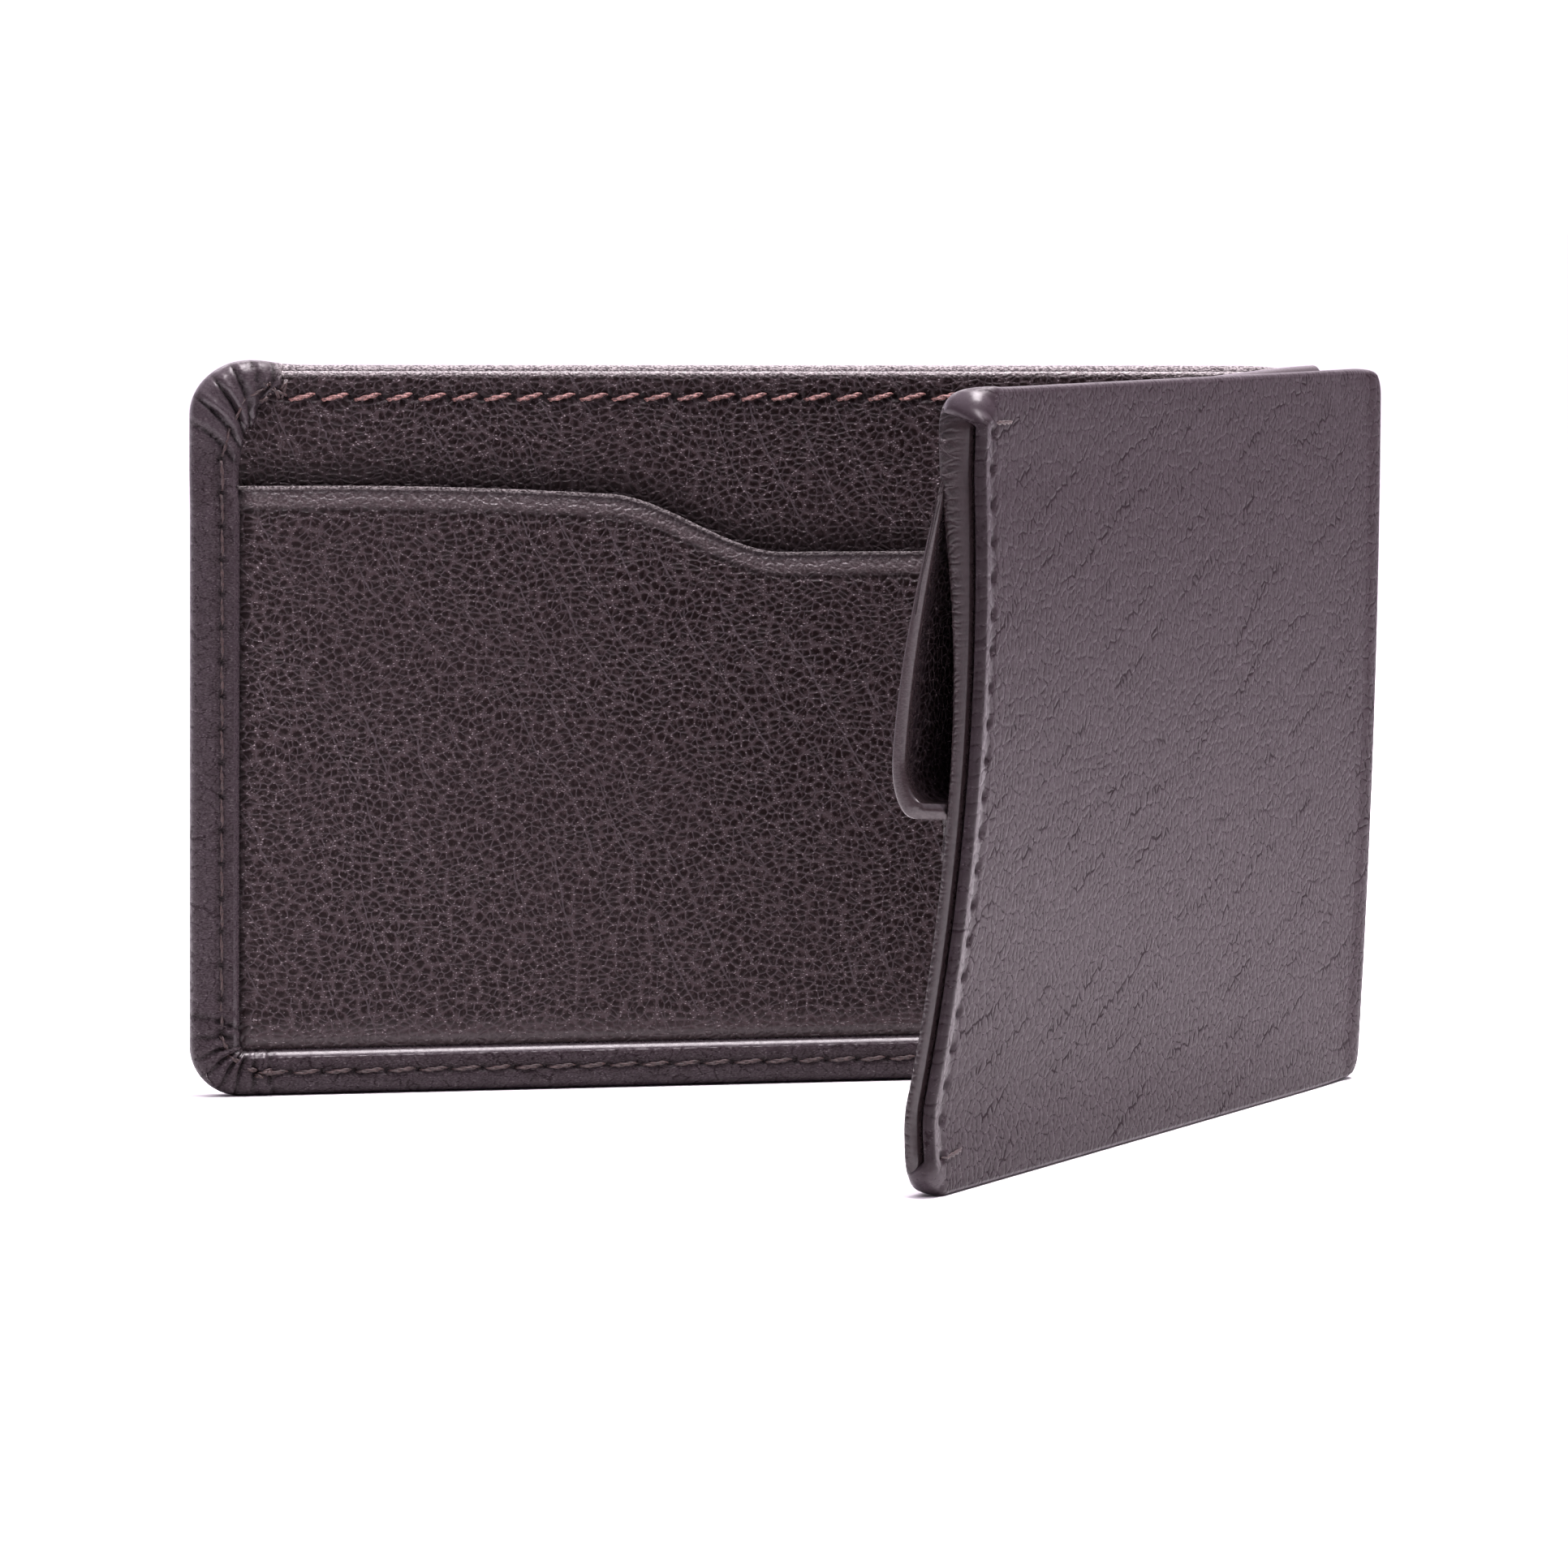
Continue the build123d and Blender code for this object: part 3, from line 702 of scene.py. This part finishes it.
def cloth_material(name, light, dark, weave_scale, roughness):
    """Woven lining or pressed board, by the scale of its weave."""
    made = Nodes(bpy.data.materials.new(name))
    flat = made.attribute("flat")
    pattern = made.math("MULTIPLY", *(made.wave(flat, weave_scale, way) for way in "XY"))
    pattern = made.math("ADD", pattern, made.math("MULTIPLY", made.noise(flat, 2.0), 0.6))
    tone = made.mix(made.math("MULTIPLY", pattern, 0.8, True), (*dark, 1.0), (*light, 1.0))
    return made.finish("Principled BSDF", Base_Color=tone, Roughness=roughness,
                       Normal=made.bump(pattern, 0.4, WEAVE_RELIEF))


OUTER = leather("outer_leather", hollow=(0.021, 0.0145, 0.0175), net=(0.0285, 0.0205, 0.0250),
                line=(0.008, 0.0045, 0.006), cell=(1.2, 1.15), crease=(-68, 0.11, 0.18),
                relief=(0.000028, 0.3), roughness=0.48, specular=0.05)
INNER = leather("inner_leather", hollow=(0.005, 0.002, 0.002), net=(0.0335, 0.0234, 0.0253),
                line=(0.066, 0.054, 0.059), cell=(0.88, 0.66), crease=(-28, 0.008, 4.0),
                relief=(0.00007, 1.2), roughness=0.44, specular=0.10)
TAN_THREAD = thread_material("tan_thread", (0.27, 0.135, 0.12), (0.05, 0.021, 0.02))
DARK_THREAD = thread_material("dark_thread", (0.045, 0.023, 0.022), (0.012, 0.006, 0.006))
LINING = cloth_material("lining", (0.026, 0.018, 0.019), (0.004, 0.002, 0.002), 0.9, 0.85)
BOARD = cloth_material("board", (0.26, 0.20, 0.15), (0.16, 0.12, 0.09), 0.7, 0.9)


# Outer leather --------------------------------------------------------
HIGH_PLEATS = (((0.2, 61.6), (3.5, 58.6)), ((0.9, 63.6), (4.3, 59.6)), ((2.3, 65.3), (4.8, 60.6)),
               ((3.8, 66.5), (5.3, 61.8)), ((5.6, 66.9), (6.0, 63.0)), ((7.4, 66.9), (6.6, 64.6)))
LOW_PLEATS = (((0.1, 7.4), (4.2, 6.2)), ((0.2, 5.4), (4.3, 5.2)), ((0.6, 3.6), (4.4, 4.7)),
              ((1.4, 2.2), (4.6, 4.4)), ((2.6, 1.1), (4.8, 4.3)), ((4.0, 0.5), (5.1, 4.2)),
              ((5.8, 0.2), (5.9, 4.1)), ((7.6, 0.2), (7.0, 4.0)))


def pleats_relief(u, z, pleats, depth=0.5):
    """Leather gathered in pleats: each overlaps the next, with a sharp crease along its edge."""
    points = np.column_stack([u, z])
    rise, shadow = 0 * u, 0 * u
    for start, end in np.array(pleats):
        along = (end - start) / np.linalg.norm(end - start)
        length = np.linalg.norm(end - start)
        run = (points - start) @ along
        bow = 0.35 * np.sin(np.pi * np.clip(run / length, 0, 1))
        across = (points - start) @ np.array([-along[1], along[0]]) - bow
        beyond = np.maximum(np.maximum(-run, run - length), 0)
        reach = dip(beyond, 0.8)
        rise = rise - depth * reach * dip(across, 0.17)
        rise = rise + 0.6 * depth * reach * dip(across - 0.55, 0.38)
        shadow = np.maximum(shadow, reach * dip(across, 0.15))
    return rise, shadow


def hem_relief(u, z):
    rise, shadow = seams_relief(u, z, (SIDE_HOLES, LOW_HOLES), 0.16, 0.4)
    for pleats in (HIGH_PLEATS, LOW_PLEATS):
        more, dark = pleats_relief(u, z, pleats)
        rise, shadow = rise + more, np.maximum(shadow, dark)
    corner = dip(np.hypot(u - 3.0, z - HEIGHT + 3.0), 4.5)
    top_edge = ramp(z, HEIGHT - 1.4, HEIGHT - 0.6) * ramp(u, 7.5, 8.5)
    # Painted highlight: faint specks of the pale cut edge colour over the hem, and a strong band of
    # it along the top edge
    return rise, shadow, 0.9 * corner * (1 - shadow), 0.04 + 0.46 * top_edge


def back_outer_relief(u, z):
    return (*seams_relief(u, z, (TOP_HOLES, SIDE_HOLES, LOW_HOLES)), 0 * u, 0 * u)


def cover_outer_relief(u, z):
    rise, shadow = seams_relief(u, z, (COVER_HOLES,), 0.08, 0.5)
    return rise, 0.6 * shadow, 0.3 * (1 - ramp(u, 1.2, 3.0)), 0 * u


def cover_hem_relief(u, z):
    """The wrapped corners are slightly wrinkled, and rubbed bright at their tips. Painted shade
    darkens the turned edge away from its corners.
    """
    end = np.minimum(z, HEIGHT - z)
    corner = dip(end, 3.0) * (u < 6)
    tip = dip(np.hypot(u - 1.0, end - 1.2), 1.3)
    return 0.06 * corner * np.sin(4.0 * z + 1.5 * u), 0.45 * ramp(end, 1.6, 3.4), 0.95 * tip, 0 * u


def outer_back():
    outline = Outline(0, HALF_W + SPINE_W / 2, 0, HEIGHT, CORNER_R, step=0.38)
    u, z = outline.edge.T
    along_top = z > HEIGHT - CORNER_R - 4
    turned = np.where(along_top, 1 - ramp(u, 7.9, 8.7), 1 - ramp(u, HALF_W - 3.2, HALF_W - 1.6))
    hem_n = TOP_HEM_N + (BACK_HEM_N - TOP_HEM_N) * (1 - ramp(z, HEIGHT - 14, HEIGHT - 9))
    top_n = LINER_N + (hem_n - LINER_N) * turned
    seat_n = SKIN_T + 0.05 + (hem_n - 0.9 - SKIN_T) * turned
    gathered = 1.5 * dip(np.hypot(u - 3.0, z - HEIGHT + 3.0), 4.0)
    narrow = 1.9 * along_top * ramp(u, 4.5, 8.0)
    outline.swell = 0.45 * dip(np.hypot(u - 5.8, z - HEIGHT), 2.6)
    wrapped_skin("outer_leather_back", outline, "back", ["back_skin"], top_n, seat_n,
                 HEM_W + gathered - narrow, back_outer_relief, hem_relief)


def outer_cover():
    outline = Outline(0, HALF_W + SPINE_W / 2, 0, HEIGHT, COVER_CORNER_R, step=0.38)
    u, z = outline.edge.T
    corner = np.minimum(np.hypot(u - 0.8, z - 0.8), np.hypot(u - 0.8, z - HEIGHT + 0.8))
    wrap = 1 - ramp(corner, 0.8, 2.6)
    face_n = PANEL_FACE_N + panel_swell(u, z)
    outline.swell = 0.35 * dip(np.hypot(u - 0.6, z - HEIGHT), 2.4)
    wrapped_skin("outer_leather_cover", outline, "cover", ["cover_skin", "spine_skin"],
                 ROLL_N + (face_n - 0.1 - ROLL_N) * wrap,
                 SKIN_T - 0.1 + (face_n - 0.8 - SKIN_T) * wrap, 2.0 + 1.6 * wrap,
                 cover_outer_relief, cover_hem_relief)


# Back half's inside ---------------------------------------------------
LIP_HIGH, LIP_SHOULDER, LIP_LOW = 56.0, 55.2, 49.7
DROP_FROM, DROP_TO = 38.5, 56.0
LIP_BAND = 2.1                  # bevelled band below the lip


def lip_height(u):
    """Height of the card pocket's lip, an S-shaped drop from its shoulder."""
    fall = np.clip((u - 12) / (DROP_FROM - 12), 0, 1) ** 2
    shoulder = LIP_HIGH + (LIP_SHOULDER - LIP_HIGH) * fall
    return shoulder + (LIP_LOW - LIP_SHOULDER) * ramp(u, DROP_FROM, DROP_TO)


def lip_warp(points):
    u, z = points.T
    share = np.clip(z / LIP_HIGH, 0, 1)
    return np.column_stack([u, z + (lip_height(u) - LIP_HIGH) * share])


def card_relief(u, z):
    """The pocket wall steps down to the hems and slopes away above a crease to its lip. Painted
    shade darkens the step at the hems and the crease, and the band below the lip is smoothed and
    painted a little lighter as a highlight.
    """
    in_from_hem = np.minimum(u, z + 0.2) - HEM_W
    border = 1 - ramp(in_from_hem, -0.3, 1.1)
    ridge = dip(in_from_hem - 1.3, 0.6)
    below_lip = lip_height(u) - z
    band = 1 - ramp(below_lip, LIP_BAND - 0.3, LIP_BAND + 0.2)
    slope = np.clip(1 - below_lip / LIP_BAND, 0, 1)
    crease = dip(below_lip - LIP_BAND - 0.2, 0.4)
    rise = -0.6 * border + 0.12 * ridge - 0.75 * slope - 0.16 * crease
    shadow = np.maximum(0.9 * dip(in_from_hem, 0.35), 0.5 * crease)
    polish = np.maximum(0.5 * band, 0.5 * (1 - ramp(z, HEM_W + 0.8, HEM_W + 3.2)))
    return rise, shadow, polish, 0.06 * band


def liner_relief(u, z):
    rise, shadow = seams_relief(u, z, (TOP_HOLES,), 0.14, 0.45)
    # Painted shade along the card pocket's lip.
    return rise, np.maximum(shadow, 0.8 * dip(z - lip_height(u), 2.4)), 0 * u, 0 * u


def stiffener_back():
    outline = Outline(1.3, HALF_W - 3, 1.3, HEIGHT - TURNING, free_r=2.0, fold_r=1.0, step=1.5)
    slab("stiffener_back", outline, SKIN_T + GLUE_GAP, LINER_N - GLUE_GAP, "back", BOARD,
         ["back_board"])


def liner():
    outline = Outline(0.7, HALF_W - 1, 1.2, HEIGHT - 0.55, free_r=3.6, fold_r=0.8)
    slab("liner", outline, LINER_N, BORDER_N, "back", INNER, ["back_liner"],
         edge=(0.65, 0.5), relief=liner_relief, fine_to=6.0, rim_cut_edge_and_highlight=0.5)


def card_pocket_front():
    outline = Outline(1.2, HALF_W - 6, 1.2, LIP_HIGH, free_r=1.0, fold_r=0.9)
    slab("card_pocket_front", outline, CARD_FACE_N - CARD_T, CARD_FACE_N, "back", INNER,
         ["card_pocket"], edge=(0.42, 0.3), relief=card_relief, warp=lip_warp,
         fine_to=7.5, rim_cut_edge_and_highlight=1.0)


def card_pocket_cloth():
    outline = Outline(6.3, HALF_W - 12.3, 6.3, LIP_HIGH - 2.5, free_r=0.6, fold_r=0.5, step=1.2)
    slab("card_pocket_cloth", outline, BORDER_N + 0.1, CARD_FACE_N - CARD_T - 0.05, "back", LINING,
         ["card_pocket_lining"], edge=(0.1, 0.1), warp=lip_warp)


def facings():
    """The facing leather inside the spine, in two pieces that meet at its middle."""
    n_low, n_high = SKIN_T + GLUE_GAP, SKIN_T + 0.45
    z = np.linspace(1.2, HEIGHT - 1.2, 60)
    ring_n = np.concatenate([np.full(len(z), n_high), np.full(len(z), n_low)])
    ring_z = np.concatenate([z, z[::-1]])
    spans = {"back": (-2.8, SPINE_W / 2, ["spine_lining"]), "cover": (SPINE_W / 2, 12.0, [])}
    for half, (start, end, nodes) in spans.items():
        rings = [np.column_stack([np.full(len(ring_n), x), ring_n, ring_z])
                 for x in np.linspace(start, end, 40)]
        piece("facing_" + half, np.concatenate(rings), loft(rings, False), half, INNER,
              nodes, True)


# Cover's inside -------------------------------------------------------
PANEL_END = HALF_W - 13.0
NOTE_FAR = 78.0
NOTE_TOP, NOTE_PEAK, NOTE_BOTTOM = 64.0, 36.5, 31.4
NOTE_BULGE, NOTE_WALL = 5.3, 1.3
NOTE_SEAM_T, NOTE_SEAM_W = 0.7, 3.5
NOTE_ROUND = 2.4                # largest radius of its lower edge
NOTE_NEAR, NOTE_EDGE_R = 0.5, 0.55   # place and roundness of its free edge


def panel_swell(u, z):
    """The sleeve panel's free edge thickens towards its corners, most of all the upper one."""
    return (1.9 * dip(HEIGHT - z, 17.0) + 0.3 * dip(z, 8.0)) * (1 - ramp(u, 2.0, 9.0))


def panel_relief(u, z):
    # Painted shade darkens the panel's free edge.
    return panel_swell(u, z), 0.5 * (1 - ramp(u, 0.5, 2.5)), 0 * u, 0 * u


def panel_warp(points):
    """Its upper edge stands up towards the fold."""
    u, z = points.T
    lift = 0.8 * ramp(u, 45, PANEL_END) * np.clip(2 * z / HEIGHT - 1, 0, 1)
    return np.column_stack([u, z + lift])


def stiffener_cover():
    outline = Outline(TURNING, HALF_W - 3, TURNING, HEIGHT - TURNING, 1.0, 1.0, step=1.5)
    slab("stiffener_cover", outline, SKIN_T + GLUE_GAP, LINER_N - GLUE_GAP, "cover", BOARD,
         ["cover_board"])


def sleeve_cloth():
    outline = Outline(TURNING, HALF_W - 2, 1.5, HEIGHT - 1.5, free_r=1.0, fold_r=1.0, step=1.5)
    slab("sleeve_cloth", outline, LINER_N + GLUE_GAP, LINER_N + 0.2, "cover", LINING,
         ["cover_lining"], edge=(0.1, 0.1))


def sleeve_panel():
    outline = Outline(0.25, PANEL_END, 0.35, HEIGHT - 0.35, free_r=3.2, fold_r=1.0)
    slab("sleeve_panel", outline, PANEL_N, PANEL_FACE_N, "cover", INNER,
         ["cover_inner_panel"], edge=(1.0, 1.15), relief=panel_relief, warp=panel_warp,
         fine_to=6.0)


def note_section(peak, inset):
    """The pocket wall's section, as (height above the panel, z): it swells slowly downwards, then
    turns in sharply at the bottom."""
    top, bottom = NOTE_TOP - inset, NOTE_BOTTOM + inset
    down = np.linspace(0, 1, 40)
    swell = np.column_stack([peak * np.sin(down * math.pi / 2),
                             top + (NOTE_PEAK - top) * down])
    angle = np.linspace(0, math.pi / 2, 14)[1:]
    round_n = min(NOTE_ROUND, peak)
    under = np.column_stack([peak - round_n * (1 - np.cos(angle)),
                             NOTE_PEAK + (bottom - NOTE_PEAK) * np.sin(angle)])
    floor_n = np.linspace(peak - round_n, 0.0, 6)[1:]
    floor = np.column_stack([floor_n, np.full(5, bottom)])
    return np.concatenate([swell, under, floor])


def note_profile(peak, inset, lift, trim, top):
    """(n, z) down the wall from its top, with its seam allowances above and below. lift is the
    allowances' height above the panel, and trim draws the surface back at the mouth's edge."""
    high = np.column_stack([np.zeros(9), np.linspace(top, NOTE_TOP, 10)[:-1]])
    low_z = np.linspace(NOTE_BOTTOM, NOTE_BOTTOM - NOTE_SEAM_W, 6)[1:]
    low = np.column_stack([np.zeros(5), low_z])
    whole = np.concatenate([high, note_section(peak, inset), low])
    whole[:, 0] = np.maximum(whole[:, 0], lift) + PANEL_FACE_N - trim
    return whole


def note_pocket():
    """The note pocket's formed wall with its flat seam allowances, as one skin of leather."""
    bends = np.linspace(0, math.pi / 2, 6)[1:]
    stations = [(u, 0.0) for u in np.linspace(NOTE_FAR + NOTE_SEAM_W, NOTE_FAR, 6)]
    stations += [(u, 0.0) for u in np.linspace(NOTE_FAR, NOTE_NEAR + NOTE_EDGE_R, 90)[1:]]
    stations += [(NOTE_NEAR + NOTE_EDGE_R * (1 - math.sin(a)), NOTE_EDGE_R * (1 - math.cos(a)))
                 for a in bends]
    top = HEIGHT - 1.8
    rings, looks = [], []
    for u, trim in stations:
        bulge = NOTE_BULGE * np.clip((NOTE_FAR - u) / NOTE_FAR, 0, 1) ** 0.9
        outer = note_profile(bulge, 0.0, 0.05 + NOTE_SEAM_T * ramp(u, 2.0, 7.0), trim, top)
        inner = note_profile(max(bulge - NOTE_WALL, 0.0), NOTE_WALL, 0.02, -trim, top)
        ring = np.concatenate([outer, inner[::-1]])
        z = ring[:, 1]
        below = 1 - ramp(z, NOTE_BOTTOM - 0.9, NOTE_BOTTOM + 0.2)
        set_back = 1.5 * np.maximum(ramp(z, NOTE_TOP - 6, NOTE_TOP), below)
        inwards = u + set_back * (1 - ramp(u, 1.0, 6.0))
        rings.append(to_flat(np.column_stack([inwards, z]), ring[:, 0], "cover"))
        polish = np.full(len(ring), 1 - ramp(u, 1.2, 3.0))
        # Near its free edge the wall is polished, with painted shade and a trace of the pale cut
        # edge colour.
        looks.append(np.column_stack([0.3 * polish, polish, 0.02 * polish]))
    piece("note_pocket_front", np.concatenate(rings), loft(rings, False), "cover", INNER,
          ["note_pocket_wall"], look=np.concatenate(looks))


# Threads --------------------------------------------------------------
def top_thread():
    seam_thread("top_thread", [(TOP_HOLES, BORDER_N, 1), (TOP_HOLES, 0.0, -1)], "back",
                TAN_THREAD, ["back_top_thread"], radius=0.23, slant=0.32, inset=0.3)


def side_thread():
    runs = [(SIDE_HOLES, BACK_HEM_N - 0.15, 1), (SIDE_HOLES, 0.0, -1),
            (HIGH_CORNER_HOLES, TOP_HEM_N + 0.1, 1), (tangle((7.9, HEIGHT - 2.2), 7, 0.7), 3.4, 1),
            (tangle((6.4, HEIGHT - 2.6), 6, 0.6), 3.45, 1)]
    seam_thread("side_thread", runs, "back", DARK_THREAD, ["back_side_thread"],
                radius=0.16, slant=0.08)


def bottom_thread():
    runs = [(LOW_HOLES, BACK_HEM_N - 0.12, 1), (LOW_HOLES, 0.0, -1),
            (LOW_CORNER_HOLES, BACK_HEM_N, 1), (tangle((6.9, 2.4), 5, 0.4), BACK_HEM_N, 1)]
    seam_thread("bottom_thread", runs, "back", DARK_THREAD, ["back_bottom_thread"],
                slant=0.15)


def pocket_end_thread():
    holes = needle_holes((HALF_W - 8.6, 7.0), (HALF_W - 8.6, LIP_LOW - 1.5))
    seam_thread("pocket_end_thread", [(holes, CARD_FACE_N, 1)], "back", DARK_THREAD,
                ["card_pocket_thread"])


def cover_thread():
    seam_thread("cover_thread", [(COVER_HOLES, 0.4, -1)], "cover", DARK_THREAD,
                ["cover_edge_thread"], slant=0.2)


def cover_tacks():
    """One long stitch across each end of the cover's seam."""
    runs = [(np.array([(COVER_SEAM, z), (COVER_SEAM + 4.7, z + rise)]), 0.0, -1)
            for z, rise in ((3.2, 0.5), (HEIGHT - 2.9, 0.0))]
    seam_thread("cover_tacks", runs, "cover", DARK_THREAD, ["cover_tack_thread"],
                slant=0.0)


def note_pocket_threads():
    low_z, far_u = NOTE_BOTTOM - 1.9, NOTE_FAR + 1.8
    seams = {"low": ((5.0, low_z), (NOTE_FAR + 1.0, low_z)),
             "far": ((far_u, NOTE_BOTTOM), (far_u, HEIGHT - 6.0))}
    for end, holes in seams.items():
        runs = [(needle_holes(*holes), PANEL_FACE_N + NOTE_SEAM_T, 1)]
        seam_thread("note_" + end + "_thread", runs, "cover", DARK_THREAD,
                    ["note_pocket_" + end + "_thread"])


# Stage, lights and camera ---------------------------------------------
FOCAL_LENGTH = 5.19617          # in image widths
CAMERA_YAW, CAMERA_PITCH, CAMERA_ROLL = 16.077, 4.042, 0.365
CAMERA_RANGE = 0.7612
CAMERA_TARGET = (0.00352, 0.0, 0.02795)
FLOOR_REACH = 30.0
LIGHT_COLOUR, WORLD_COLOUR = (1.0, 0.92, 0.96), (0.98, 0.85, 1.0, 1.0)
# The world's glow rises along an axis, between two places, from one strength to another
GLOWS = (("Y", -0.7, 0.2, 0.11, 0.37), ("Y", 0.55, 0.9, 0.0, 0.9), ("Z", 0.4, 0.8, 0.0, 1.6))


def camera():
    data = bpy.data.cameras.new("camera")
    data.lens = FOCAL_LENGTH * data.sensor_width
    data.clip_start = 0.01
    obj = add_object("camera", data)
    yaw, pitch = math.radians(CAMERA_YAW), math.radians(CAMERA_PITCH)
    forward = Vector((math.sin(yaw) * math.cos(pitch), math.cos(yaw) * math.cos(pitch),
                      -math.sin(pitch)))
    obj.location = Vector(CAMERA_TARGET) - forward * CAMERA_RANGE
    obj.rotation_mode = "QUATERNION"
    level = forward.to_track_quat("-Z", "Y")
    obj.rotation_quaternion = level @ Quaternion((0.0, 0.0, 1.0), math.radians(CAMERA_ROLL))
    bpy.context.scene.camera = obj


def softbox(name, place_at, target, size, power):
    data = bpy.data.lights.new(name, "AREA")
    data.shape = "RECTANGLE"
    data.size, data.size_y = size
    data.energy = power
    data.color = LIGHT_COLOUR
    obj = add_object(name, data)
    obj.location = place_at
    obj.rotation_mode = "QUATERNION"
    obj.rotation_quaternion = (Vector(target) - Vector(place_at)).to_track_quat("-Z", "Y")
    obj.visible_camera = False


def stage():
    mesh = bpy.data.meshes.new("floor")
    corners = FLOOR_REACH * np.array([(-1, -1, 0), (1, -1, 0), (1, 1, 0), (-1, 1, 0)])
    mesh.from_pydata(corners.tolist(), [], [(0, 1, 2, 3)])
    floor = add_object("floor", mesh)
    made = Nodes(bpy.data.materials.new("pale_floor"))
    speck = made.noise(made.coordinates("Object"), 3.0, 3.0)
    tone = made.mix(speck, (0.86, 0.86, 0.86, 1.0), (0.89, 0.89, 0.89, 1.0))
    mesh.materials.append(made.finish("Principled BSDF", Base_Color=tone, Roughness=0.9))


def world_glow():
    made = Nodes(bpy.data.worlds.new("studio"))
    place_at = made.split(made.coordinates("Generated"))
    total = 0.0
    for axis, *numbers in GLOWS:
        total = made.math("ADD", total, made.spread(place_at[axis], *numbers, course="LINEAR"))
    bpy.context.scene.world = made.finish("Background", Strength=total, Color=WORLD_COLOUR)


def lights():
    softbox("overhead", (0.13, -0.05, 0.6), (0.0, -0.03, 0.03), (0.45, 0.26), 12.0)
    softbox("behind", (0.24, 0.62, 0.60), (0.0, 0.0, 0.05), (0.9, 0.35), 4.5)
    softbox("low_bounce", (0.062, -0.079, 0.004), (0.022, -0.048, 0.012), (0.12, 0.008), 0.013)


outer_back()
outer_cover()
facings()
stiffener_back()
liner()
card_pocket_front()
card_pocket_cloth()
stiffener_cover()
sleeve_cloth()
sleeve_panel()
note_pocket()
top_thread()
side_thread()
bottom_thread()
pocket_end_thread()
cover_thread()
cover_tacks()
note_pocket_threads()
camera()
stage()
world_glow()
lights()
bpy.context.scene.view_settings.view_transform = "Standard"
